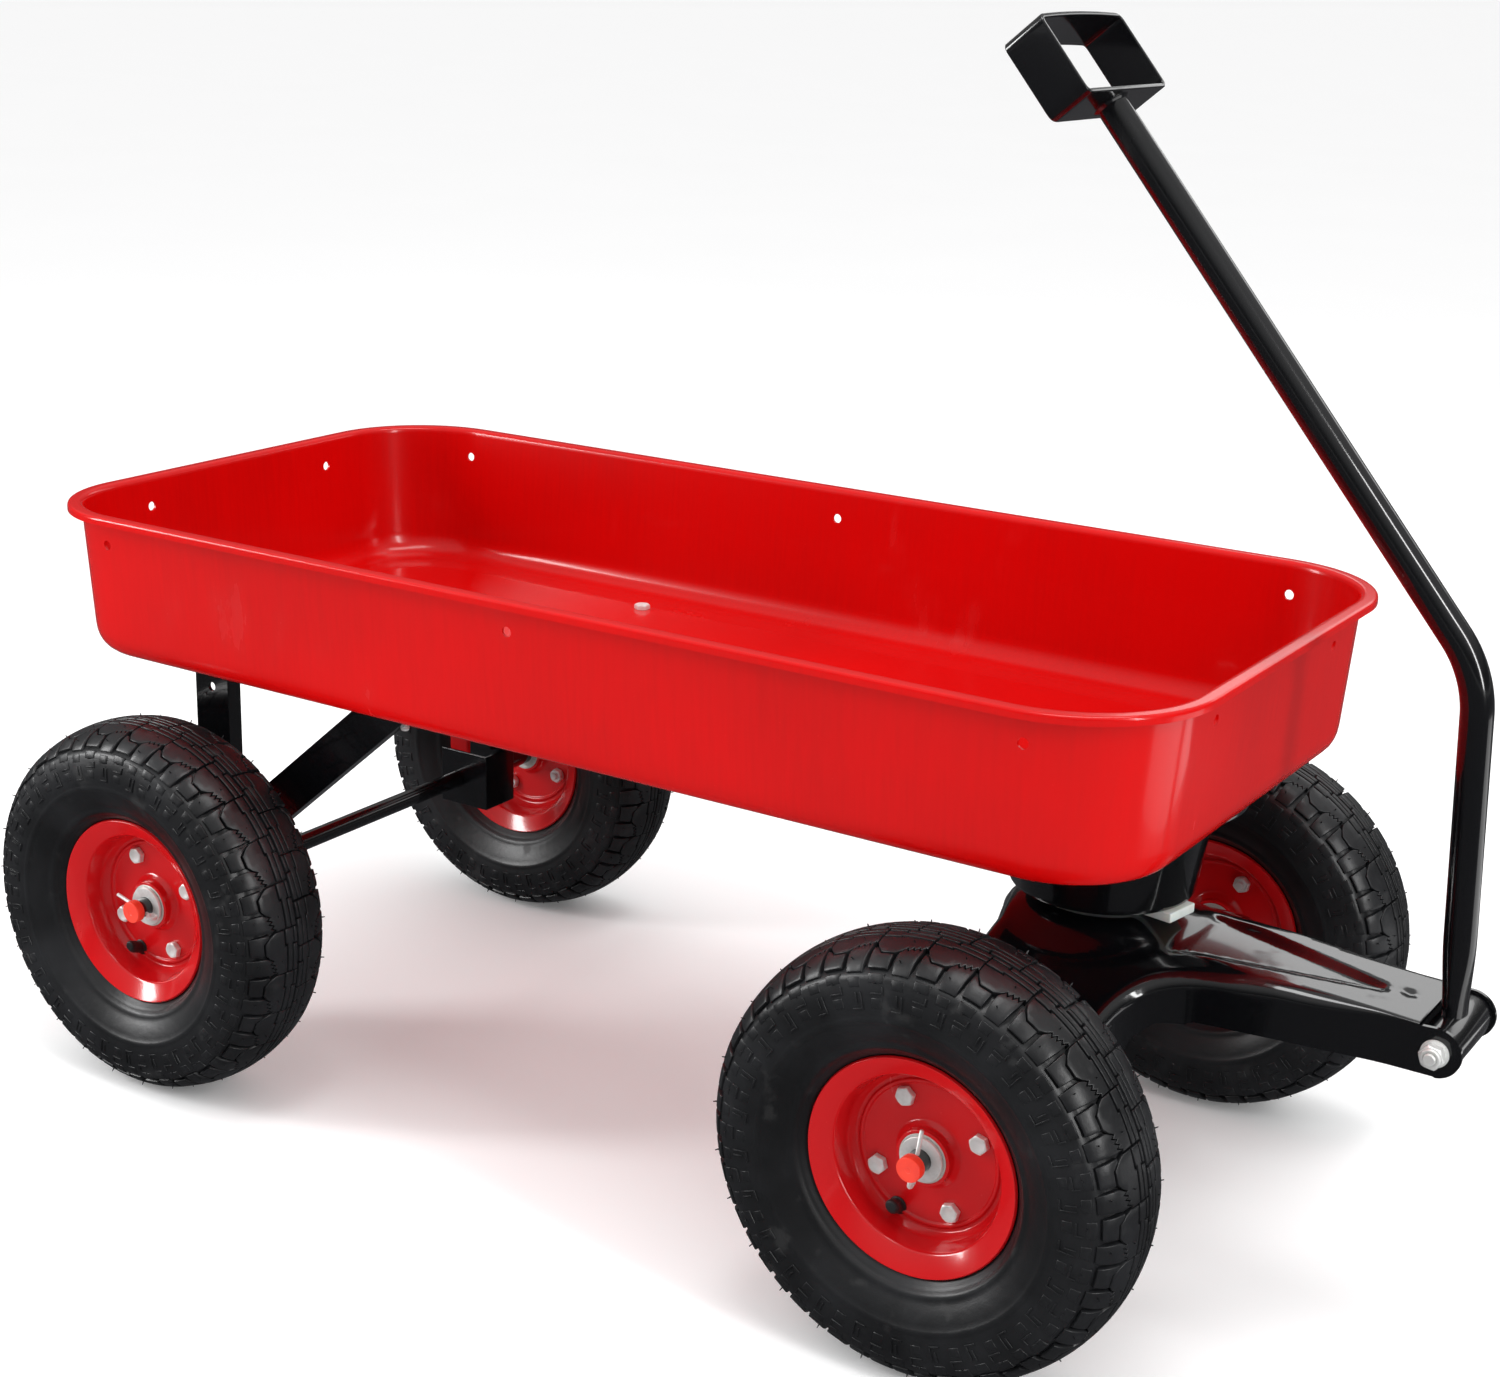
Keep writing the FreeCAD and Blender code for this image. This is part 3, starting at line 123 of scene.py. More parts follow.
class Graph:
    """The node tree of one material."""

    def __init__(self, name: str) -> None:
        """Start an empty material with an output and the object's own coordinates."""
        self.material = bpy.data.materials.new(name)
        self.material.use_nodes = True
        self.tree = self.material.node_tree
        self.tree.nodes.clear()
        self.output = self.tree.nodes.new("ShaderNodeOutputMaterial")
        self.place = self.tree.nodes.new("ShaderNodeTexCoord").outputs["Object"]

    def node(self, kind: str, settings: dict | None = None, values: dict | None = None) -> bpy.types.Node:
        """Add a node.

        Args:
            kind: the node's type.
            settings: its properties, set first.
            values: what each input socket holds, by name or number: a wire, socket or value.

        Returns:
            The node.
        """
        made = self.tree.nodes.new(kind)
        for key, value in (settings or {}).items():
            setattr(made, key, value)
        for key, value in (values or {}).items():
            socket = made.inputs[key]
            if isinstance(value, Wire):
                self.tree.links.new(value.socket, socket)
            elif isinstance(value, bpy.types.NodeSocket):
                self.tree.links.new(value, socket)
            else:
                socket.default_value = value
        return made

    def stretched(self, scale: Sequence[float]) -> Wire:
        """The object's coordinates, scaled along each axis."""
        made = self.node("ShaderNodeMapping", None, {"Vector": self.place, "Scale": tuple(scale)})
        return Wire(self, made.outputs[0])

    def noise(self, scale: float, detail: float = 3.0, stretch: Sequence[float] = (1, 1, 1)) -> Wire:
        """Cloudy noise between 0 and 1.

        Args:
            scale: how many features fit in a metre.
            detail: how many finer layers it has.
            stretch: the scale along each axis.

        Returns:
            The noise's value.
        """
        where = self.stretched(stretch)
        made = self.node("ShaderNodeTexNoise", None, {"Vector": where, "Scale": scale, "Detail": detail})
        return Wire(self, made.outputs[0])

    def specks(self, scale: float) -> Wire:
        """Distance to the nearest of many scattered points."""
        made = self.node("ShaderNodeTexVoronoi", None, {"Vector": self.place, "Scale": scale})
        return Wire(self, made.outputs["Distance"])

    def ramp(self, value: Wire, low: float, high: float) -> Wire:
        """Smooth step from 0 at low to 1 at high."""
        made = self.node("ShaderNodeMapRange", {"interpolation_type": "SMOOTHSTEP"},
                         {"Value": value, "From Min": low, "From Max": high})
        return Wire(self, made.outputs[0])

    def mix(self, factor: "Wire | float", first: "Wire | Colour", second: "Wire | Colour") -> Wire:
        """Blend two colours by a factor."""
        ends = [c if isinstance(c, Wire) else (*c, 1.0) for c in (first, second)]
        made = self.node("ShaderNodeMix", {"data_type": "RGBA"}, {0: factor, 6: ends[0], 7: ends[1]})
        return Wire(self, made.outputs[2])

    def bump(self, height: Wire, distance: float, strength: float = 1.0) -> Wire:
        """Surface relief of a height that runs from 0 to 1, distance metres deep."""
        made = self.node("ShaderNodeBump", None,
                         {"Height": height, "Distance": distance, "Strength": strength})
        return Wire(self, made.outputs[0])

    def finish(self, values: dict) -> bpy.types.Material:
        """End the tree in a Principled shader and give the material."""
        shader = self.node("ShaderNodeBsdfPrincipled", None, values)
        self.tree.links.new(shader.outputs[0], self.output.inputs["Surface"])
        return self.material


@dataclass(frozen=True)
class Enamel:
    """Baked gloss paint on pressed steel."""

    name: str
    colour: Colour
    shade: Colour
    chip: Colour
    roughness: float = 0.2
    drawn: float = 0.3
    coat: float = 0.35
    shine: float = 0.5

    def material(self) -> bpy.types.Material:
        """Build the paint: slow waves in the sheet, drawing lines under it, fine scuffs and specks."""
        g = Graph(self.name)
        lines = g.noise(330.0, 2.0, (1, 1, 0.02))
        waves = g.noise(7.0, 2.0)
        peel = g.noise(1500.0, 1.0)
        scuff = g.ramp(g.noise(24.0, 9.0, (1, 1, 0.35)), 0.63, 0.74)
        specks = 1 - g.ramp(g.specks(95.0), 0.035, 0.06)
        base = g.mix(g.ramp(waves * 0.7 + lines * self.drawn, 0.3, 0.85), self.colour, self.shade)
        base = g.mix(specks * 0.35 + scuff * 0.06, base, self.chip)
        rough = self.roughness + lines * (0.16 * self.drawn) + scuff * 0.12 + waves * 0.05
        height = lines * self.drawn + waves * 3.0 + peel * 0.05
        return g.finish({
            "Base Color": base,
            "Roughness": rough,
            "Coat Weight": self.coat - scuff * 0.3,
            "Coat Roughness": 0.05,
            "Specular IOR Level": self.shine,
            "Normal": g.bump(height, 0.00009, 0.7),
        })


@dataclass(frozen=True)
class Rubber:
    """Moulded black rubber with a faint bloom."""

    name: str
    colour: Colour = (0.004, 0.0043, 0.005)
    bloom: Colour = (0.016, 0.017, 0.0195)
    roughness: float = 0.3

    def material(self) -> bpy.types.Material:
        """Build the rubber: bloom in clouds, a fine mould grain and a few pale scuffs."""
        g = Graph(self.name)
        clouds = g.noise(21.0, 5.0)
        grain = g.noise(1400.0, 2.0)
        rub = g.ramp(g.noise(60.0, 8.0), 0.6, 0.72)
        base = g.mix(g.ramp(clouds, 0.35, 0.75) * 0.6 + grain * 0.15, self.colour, self.bloom)
        base = g.mix(rub * 0.15, base, (0.06, 0.06, 0.06))
        rough = self.roughness + clouds * 0.12 + rub * 0.14 + grain * 0.05
        height = grain * 0.25 + g.noise(170.0, 3.0)
        return g.finish({
            "Base Color": base,
            "Roughness": rough,
            "Specular IOR Level": 0.55,
            "Normal": g.bump(height, 0.00022, 0.7),
        })


@dataclass(frozen=True)
class PlatedSteel:
    """Bare or zinc-plated steel."""

    name: str
    colour: Colour = (0.90, 0.91, 0.90)
    tarnish: Colour = (0.66, 0.66, 0.63)
    roughness: float = 0.3
    metal: float = 0.6

    def material(self) -> bpy.types.Material:
        """Build the plating: mottled tarnish, brushing and tiny pits."""
        g = Graph(self.name)
        mottle = g.noise(170.0, 4.0)
        brush = g.noise(900.0, 2.0, (1, 0.15, 1))
        base = g.mix(g.ramp(mottle, 0.35, 0.8) * 0.7, self.colour, self.tarnish)
        rough = self.roughness + mottle * 0.22 + brush * 0.08
        return g.finish({
            "Base Color": base,
            "Roughness": rough,
            "Metallic": self.metal - g.ramp(mottle, 0.55, 0.8) * 0.2,
            "Normal": g.bump(brush * 0.6 + mottle * 0.4, 0.0001, 0.6),
        })


@dataclass(frozen=True)
class Plastic:
    """Injection-moulded plastic."""

    name: str
    colour: Colour
    shade: Colour
    roughness: float = 0.35
    subsurface: float = 0.05

    def material(self) -> bpy.types.Material:
        """Build the plastic: slight flow marks and a fine moulded texture."""
        g = Graph(self.name)
        flow = g.noise(120.0, 3.0)
        grain = g.noise(1900.0, 1.0)
        return g.finish({
            "Base Color": g.mix(g.ramp(flow, 0.3, 0.8) * 0.6, self.colour, self.shade),
            "Roughness": self.roughness + flow * 0.12 + grain * 0.06,
            "Subsurface Weight": self.subsurface,
            "Normal": g.bump(grain, 0.00006, 0.6),
        })


class Finish(Enum):
    """The finishes on the wagon, by what they cover."""

    TRAY = Enamel("tray_red_enamel", (0.56, 0.001, 0.001), (0.45, 0.001, 0.001), (0.6, 0.01, 0.01),
                  drawn=0.3, roughness=0.16, coat=0.2, shine=0.3)
    RIM = Enamel("rim_red_enamel", (0.50, 0.004, 0.006), (0.40, 0.003, 0.004), (0.6, 0.04, 0.04),
                 drawn=0.08, roughness=0.15)
    BLACK = Enamel("gloss_black_enamel", (0.0022, 0.0024, 0.003), (0.004, 0.004, 0.005),
                   (0.014, 0.014, 0.016), drawn=0.08, roughness=0.13, coat=0.6)
    TYRE = Rubber("moulded_tyre_rubber")
    STEM = Rubber("valve_rubber", roughness=0.42)
    ZINC = PlatedSteel("bright_zinc")
    RACE = PlatedSteel("ground_race_steel", (0.74, 0.74, 0.71), (0.5, 0.49, 0.45), 0.24)
    CAP = Plastic("orange_red_plastic", (0.86, 0.045, 0.018), (0.72, 0.02, 0.01), 0.3)
    NYLON = Plastic("satin_white_nylon", (0.82, 0.81, 0.77), (0.70, 0.69, 0.64), 0.45, 0.2)

    def dress(self) -> bpy.types.Material:
        """The finish's material, made once."""
        return bpy.data.materials.get(self.value.name) or self.value.material()


# ---------------------------------------------------------------------------
# Shapes


@dataclass
class Shape:
    """A mesh in the making: points in millimetres and the faces that join them."""

    points: list[Vector] = field(default_factory=list)
    faces: list[tuple[int, ...]] = field(default_factory=list)

    def add(self, other: "Shape") -> "Shape":
        """Take in another shape's points and faces."""
        start = len(self.points)
        self.points.extend(other.points)
        self.faces.extend(tuple(start + i for i in face) for face in other.faces)
        return self

    def moved(self, matrix: Matrix) -> "Shape":
        """A copy of the shape, turned and moved."""
        return Shape([matrix @ p for p in self.points], list(self.faces))

    def mesh(self, name: str, merge: float = 1e-3) -> bpy.types.Mesh:
        """Make the Blender mesh, in metres.

        Args:
            name: the mesh's name.
            merge: points nearer than this, in millimetres, become one.

        Returns:
            The mesh.
        """
        made = bpy.data.meshes.new(name)
        made.from_pydata([p * MM for p in self.points], [], self.faces)
        work = bmesh.new()
        work.from_mesh(made)
        bmesh.ops.remove_doubles(work, verts=work.verts, dist=merge * MM)
        bmesh.ops.recalc_face_normals(work, faces=work.faces)
        work.to_mesh(made)
        work.free()
        return made


def smooth(value: float) -> float:
    """Clamp a value to between 0 and 1 and ease both of its ends."""
    share = min(max(value, 0.0), 1.0)
    return share * share * (3 - 2 * share)


def eased(points: Sequence[Point], radius: float | Sequence[float], steps: int = 5,
          closed: bool = True) -> list[Point]:
    """Round the corners of an outline.

    Args:
        points: the corners.
        radius: one radius for all, or one for each corner.
        steps: how many pieces each rounded corner has.
        closed: whether the outline is a loop.

    Returns:
        The rounded outline.
    """
    count = len(points)
    radii = [radius] * count if isinstance(radius, (int, float)) else list(radius)
    made = []
    for i, corner in enumerate(points):
        here = Vector(corner)
        if radii[i] <= 0 or (not closed and i in (0, count - 1)):
            made.append(tuple(here))
            continue
        before = Vector(points[i - 1]) - here
        after = Vector(points[(i + 1) % count]) - here
        turn = math.pi - before.angle(after, math.pi)
        if turn < 0.02:
            made.append(tuple(here))
            continue
        back = min(radii[i] * math.tan(turn / 2), before.length * 0.48, after.length * 0.48)
        start = here + before.normalized() * back
        end = here + after.normalized() * back
        for k in range(steps + 1):
            t = k / steps
            p = start * (1 - t) ** 2 + here * (2 * t * (1 - t)) + end * t ** 2
            made.append((p.x, p.y))
    return made


def lathe(profile: Sequence[Point], segments: int = 64, closed: bool = True) -> Shape:
    """Revolve an outline about the Y axis.

    Args:
        profile: (radius, place along the axis) of each point.
        segments: how many flats go round.
        closed: whether the outline is a loop; an open one starts and ends on the axis.

    Returns:
        The turned shape.
    """
    shape = Shape()
    rings = []
    for radius, along in profile:
        start = len(shape.points)
        if radius < 1e-6:
            shape.points.append(Vector((0, along, 0)))
            rings.append([start] * segments)
            continue
        for k in range(segments):
            angle = 2 * math.pi * k / segments
            shape.points.append(Vector((radius * math.cos(angle), along, radius * math.sin(angle))))
        rings.append(list(range(start, start + segments)))
    last = len(rings) if closed else len(rings) - 1
    for i in range(last):
        one, two = rings[i], rings[(i + 1) % len(rings)]
        for k in range(segments):
            j = (k + 1) % segments
            face = tuple(dict.fromkeys((one[k], one[j], two[j], two[k])))
            if len(face) > 2:
                shape.faces.append(face)
    return shape


def lofted(rings: Sequence[Sequence[Vector]], closed_rings: bool = True, capped: bool = True) -> Shape:
    """Join rings of equally many points into a skin.

    Args:
        rings: the rings, in order.
        closed_rings: whether each ring is a loop.
        capped: whether the first and last rings are filled.

    Returns:
        The skin.
    """
    shape = Shape()
    count = len(rings[0])
    for ring in rings:
        shape.points.extend(ring)
    for i in range(len(rings) - 1):
        for k in range(count if closed_rings else count - 1):
            j = (k + 1) % count
            low, high = i * count, (i + 1) * count
            shape.faces.append((low + k, low + j, high + j, high + k))
    if capped:
        shape.faces.append(tuple(range(count)))
        shape.faces.append(tuple(range((len(rings) - 1) * count, len(rings) * count)))
    return shape


def inset(polygon: Sequence[Point], by: float) -> list[Point]:
    """Move a counter-clockwise polygon's sides inwards by a distance."""
    made = []
    count = len(polygon)
    for i in range(count):
        here = Vector(polygon[i])
        before = (here - Vector(polygon[i - 1])).normalized()
        after = (Vector(polygon[(i + 1) % count]) - here).normalized()
        one = Vector((-before.y, before.x))
        two = Vector((-after.y, after.x))
        middle = one + two
        if middle.length < 1e-6:
            middle = one.copy()
        middle.normalize()
        lean = middle.dot(one)
        reach = min(by / max(lean, 0.35), by * 2.2) if by > 0 else by / max(lean, 0.5)
        made.append(tuple(here + middle * reach))
    return made


def divided(points: Sequence[Point], longest: float, closed: bool = True) -> list[Point]:
    """Add points so that no side of an outline is longer than a given length."""
    made = []
    count = len(points)
    for i in range(count if closed else count - 1):
        one, two = Vector(points[i]), Vector(points[(i + 1) % count])
        pieces = max(1, math.ceil((two - one).length / longest - 1e-6))
        made.extend(tuple(one.lerp(two, k / pieces)) for k in range(pieces))
    if not closed:
        made.append(tuple(points[-1]))
    return made


def along_y(centre: Sequence[float], way: float = 1.0, turn: float = 0.0) -> Matrix:
    """Placement of a lathed shape with its axis along Y, pointing to +Y or -Y."""
    flip = Matrix.Rotation(math.pi, 4, "Z") if way < 0 else Matrix.Identity(4)
    return Matrix.Translation(Vector(centre)) @ flip @ Matrix.Rotation(turn, 4, "Y")


def along_z(centre: Sequence[float], way: float = 1.0) -> Matrix:
    """Placement of a lathed shape with its axis along Z, pointing up or down."""
    return Matrix.Translation(Vector(centre)) @ Matrix.Rotation(math.pi / 2 * way, 4, "X")


# ---------------------------------------------------------------------------
# Pieces


@dataclass
class Bench:
    """What every sub-assembly is built on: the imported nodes, and how a piece is finished."""

    nodes: dict[str, bpy.types.Object]
    body_of: dict[str, str]

    def box(self, node: str) -> tuple[Vector, Vector]:
        """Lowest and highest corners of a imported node, in millimetres."""
        low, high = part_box(node)
        return low / MM, high / MM

    def solids(self, node: str) -> list[tuple[Vector, Vector]]:
        """Lowest and highest corners of each separate solid in a node, in millimetres."""
        work = bmesh.new()
        work.from_mesh(self.nodes[node].data)
        bmesh.ops.remove_doubles(work, verts=work.verts, dist=1e-6)
        left = set(work.verts)
        found = []
        while left:
            stack = [left.pop()]
            seen = []
            while stack:
                vert = stack.pop()
                seen.append(vert.co / MM)
                for edge in vert.link_edges:
                    other = edge.other_vert(vert)
                    if other in left:
                        left.discard(other)
                        stack.append(other)
            low = Vector(min(p[i] for p in seen) for i in range(3))
            high = Vector(max(p[i] for p in seen) for i in range(3))
            found.append((low, high))
        work.free()
        return sorted(found, key=lambda pair: tuple(round(c, 2) for c in pair[0]))

    def piece(self, node: str, mesh: bpy.types.Mesh, finish: Finish, crease: float = 35.0,
              even: bool = False) -> bpy.types.Object:
        """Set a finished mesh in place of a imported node.

        Args:
            node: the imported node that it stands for.
            mesh: the mesh, in place and in metres.
            finish: what covers it.
            crease: edges that turn more than this many degrees stay sharp.
            even: whether broad faces set the shading of the fillets beside them.

        Returns:
            The piece.
        """
        mesh.materials.clear()
        mesh.materials.append(finish.dress())
        mesh.shade_smooth()
        mesh.set_sharp_from_angle(angle=math.radians(crease))
        made = bpy.data.objects.new(f"{node}_finished", mesh)
        bpy.context.scene.collection.objects.link(made)
        if even:
            normal = made.modifiers.new("even_shading", "WEIGHTED_NORMAL")
            normal.keep_sharp = True
            normal.weight = 80
        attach(made, self.body_of[node])
        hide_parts(node)
        LOG.info("%s: %d faces", made.name, len(mesh.polygons))
        return made

    def skin(self, node: str, shape: Shape, finish: Finish, crease: float = 35.0,
             even: bool = False) -> bpy.types.Object:
        """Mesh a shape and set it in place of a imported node."""
        return self.piece(node, shape.mesh(f"{node}_finished"), finish, crease, even)

    def carried(self, node: str, finish: Finish, edge: float = 0.35,
                crease: float = 35.0) -> bpy.types.Object:
        """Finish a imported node's own shape, with its corners slightly broken.

        Args:
            node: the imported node.
            finish: what covers it.
            edge: the width of the broken corner, in millimetres.
            crease: edges that turn more than this many degrees are corners.

        Returns:
            The piece.
        """
        mesh = self.nodes[node].data.copy()
        mesh.name = f"{node}_finished"
        work = bmesh.new()
        work.from_mesh(mesh)
        bmesh.ops.remove_doubles(work, verts=work.verts, dist=1e-6)
        bmesh.ops.dissolve_limit(work, angle_limit=math.radians(0.4), verts=work.verts, edges=work.edges)
        bmesh.ops.recalc_face_normals(work, faces=work.faces)
        work.to_mesh(mesh)
        work.free()
        made = self.piece(node, mesh, finish, crease)
        if edge > 0:
            bevel = made.modifiers.new("broken_corner", "BEVEL")
            bevel.width = edge * MM
            bevel.segments = 2
            bevel.limit_method = "ANGLE"
            bevel.angle_limit = math.radians(crease)
            bevel.use_clamp_overlap = True
        normal = made.modifiers.new("even_shading", "WEIGHTED_NORMAL")
        normal.keep_sharp = False
        return made


class RingTree:
    """Geometry Nodes that repeat a mesh evenly round a wheel's axle."""

    NAME = "repeat_round_the_axle"

    def __init__(self) -> None:
        """Find the tree, or build it the first time."""
        self.tree = bpy.data.node_groups.get(self.NAME) or self._build()

    def _build(self) -> bpy.types.NodeTree:
        """Build the tree: points on a line, one turned instance on each, realized and painted."""
        tree = bpy.data.node_groups.new(self.NAME, "GeometryNodeTree")
        face = tree.interface
        face.new_socket("Geometry", in_out="OUTPUT", socket_type="NodeSocketGeometry")
        face.new_socket("Geometry", in_out="INPUT", socket_type="NodeSocketGeometry")
        face.new_socket("Count", in_out="INPUT", socket_type="NodeSocketInt").default_value = 4
        face.new_socket("Unevenness", in_out="INPUT", socket_type="NodeSocketFloat")
        face.new_socket("Seed", in_out="INPUT", socket_type="NodeSocketInt").default_value = 7
        face.new_socket("Centre", in_out="INPUT", socket_type="NodeSocketVector")
        face.new_socket("Material", in_out="INPUT", socket_type="NodeSocketMaterial")
        new, link = tree.nodes.new, tree.links.new
        given = new("NodeGroupInput").outputs
        line = new("GeometryNodeMeshLine")
        link(given["Count"], line.inputs["Count"])
        line.inputs["Offset"].default_value = (0, 0, 0)
        step = new("ShaderNodeMath")
        step.operation = "DIVIDE"
        step.inputs[0].default_value = 2 * math.pi
        link(given["Count"], step.inputs[1])
        turn = new("ShaderNodeMath")
        turn.operation = "MULTIPLY_ADD"
        link(new("GeometryNodeInputIndex").outputs[0], turn.inputs[0])
        link(step.outputs[0], turn.inputs[1])
        stray = new("FunctionNodeRandomValue")
        stray.data_type = "FLOAT"
        link(given["Seed"], next(s for s in stray.inputs if s.name == "Seed"))
        shift = new("ShaderNodeMath")
        shift.operation = "MULTIPLY"
        link(next(s for s in stray.outputs if s.type == "VALUE" and s.enabled), shift.inputs[0])
        link(given["Unevenness"], shift.inputs[1])
        link(shift.outputs[0], turn.inputs[2])
        angles = new("ShaderNodeCombineXYZ")
        link(turn.outputs[0], angles.inputs["Y"])
        instance = new("GeometryNodeInstanceOnPoints")
        link(line.outputs["Mesh"], instance.inputs["Points"])
        link(given["Geometry"], instance.inputs["Instance"])
        link(angles.outputs[0], instance.inputs["Rotation"])
        whole = new("GeometryNodeRealizeInstances")
        link(instance.outputs[0], whole.inputs[0])
        place = new("GeometryNodeTransform")
        link(whole.outputs[0], place.inputs["Geometry"])
        link(given["Centre"], place.inputs["Translation"])
        paint = new("GeometryNodeSetMaterial")
        link(place.outputs[0], paint.inputs["Geometry"])
        link(given["Material"], paint.inputs["Material"])
        link(paint.outputs[0], new("NodeGroupOutput").inputs[0])
        return tree

    def repeat(self, one: bpy.types.Mesh, count: int, centre: Vector, finish: Finish,
               unevenness: float = 0.0) -> bpy.types.Mesh:
        """Repeat a mesh round the Y axis through a centre.

        Args:
            one: the mesh to repeat, made about the origin, in metres.
            count: how many there are.
            centre: where the axis is, in millimetres.
            finish: what covers them.
            unevenness: the most that one strays from its even place, in radians.

        Returns:
            The repeated mesh, in metres.
        """
        holder = bpy.data.objects.new("repeat_holder", one)
        bpy.context.scene.collection.objects.link(holder)
        modifier = holder.modifiers.new("repeat", "NODES")
        modifier.node_group = self.tree
        values = {"Count": count, "Unevenness": unevenness, "Seed": 7,
                  "Centre": tuple(centre * MM), "Material": finish.dress()}
        for item in self.tree.interface.items_tree:
            if item.in_out == "INPUT" and item.name in values:
                modifier[item.identifier] = values[item.name]
        bpy.context.view_layer.update()
        made = bpy.data.meshes.new_from_object(
            holder.evaluated_get(bpy.context.evaluated_depsgraph_get()))
        holder.modifiers.remove(modifier)
        bpy.data.objects.remove(holder)
        return made


def joined(meshes: Sequence[bpy.types.Mesh], name: str) -> bpy.types.Mesh:
    """Put several meshes into one."""
    work = bmesh.new()
    for mesh in meshes:
        work.from_mesh(mesh)
    made = bpy.data.meshes.new(name)
    work.to_mesh(made)
    work.free()
    return made


def evaluated(mesh: bpy.types.Mesh, modify: Callable[[bpy.types.Object], None]) -> bpy.types.Mesh:
    """Give the mesh that modifiers make of another.

    Args:
        mesh: the mesh to start from.
        modify: adds the modifiers to a temporary object.

    Returns:
        The resulting mesh.
    """
    holder = bpy.data.objects.new("modifier_holder", mesh)
    bpy.context.scene.collection.objects.link(holder)
    modify(holder)
    bpy.context.view_layer.update()
    made = bpy.data.meshes.new_from_object(holder.evaluated_get(bpy.context.evaluated_depsgraph_get()))
    bpy.data.objects.remove(holder)
    return made


@dataclass(frozen=True)
class HexFastener:
    """A hexagon bolt or nut, made about the origin with its axis along +Y."""

    flats: float
    height: float
    shank: float

    def _ring(self, along: float, most: float, segments: int = 36) -> list[Vector]:
        """One ring of the hexagon, cut back to a circle of radius most."""
        ring = []
        for k in range(segments):
            angle = 2 * math.pi * k / segments
            sector = (angle + math.pi / 6) % (math.pi / 3) - math.pi / 6
            radius = min(self.flats / 2 / math.cos(sector), most)
            ring.append(Vector((radius * math.cos(angle), along, radius * math.sin(angle))))
        return ring

    def head(self) -> Shape:
        """Bolt head with a turned chamfer, a shallow dished top and a washer face."""
        tall, half = self.height, self.flats / 2
        wide = self.flats
        rings = [
            self._ring(0.0, half * 0.97), self._ring(0.25, half * 0.97), self._ring(0.25, wide),
            self._ring(tall * 0.78, wide), self._ring(tall * 0.88, half * 1.09),
            self._ring(tall * 0.97, half * 0.98), self._ring(tall, half * 0.9),
            self._ring(tall - 0.05, half * 0.72), self._ring(tall - 0.35, half * 0.6),
        ]
        return lofted(rings)

    def nut(self) -> Shape:
        """Nut with both faces chamfered and a countersunk thread."""
        tall, half, bore = self.height, self.flats / 2, self.shank / 2
        wide = self.flats
        rings = [
            self._ring(0.0, half * 0.95), self._ring(tall * 0.1, half * 1.06),
            self._ring(tall * 0.2, wide), self._ring(tall * 0.8, wide),
            self._ring(tall * 0.9, half * 1.06),
            self._ring(tall, half * 0.95), self._ring(tall, bore * 1.18),
            self._ring(tall - 0.6, bore * 1.0), self._ring(tall - 0.8, bore * 0.96),
        ]
        return lofted(rings)

    def thread(self, start: float, end: float, pitch: float = 1.0) -> Shape:
        """Threaded end of the shank between two places along the axis."""
        radius = self.shank / 2
        profile = [(0.0, start), (radius * 0.93, start)]
        turns = max(1, int((end - start - 0.8) / pitch))
        for k in range(turns):
            profile += [(radius * 0.9, start + (k + 0.1) * pitch), (radius, start + (k + 0.5) * pitch),
                        (radius * 0.9, start + (k + 0.9) * pitch)]
        profile += [(radius * 0.88, end - 0.6), (radius * 0.72, end), (0.0, end)]
        return lathe(profile, 24, closed=False)


# ---------------------------------------------------------------------------
# Tray


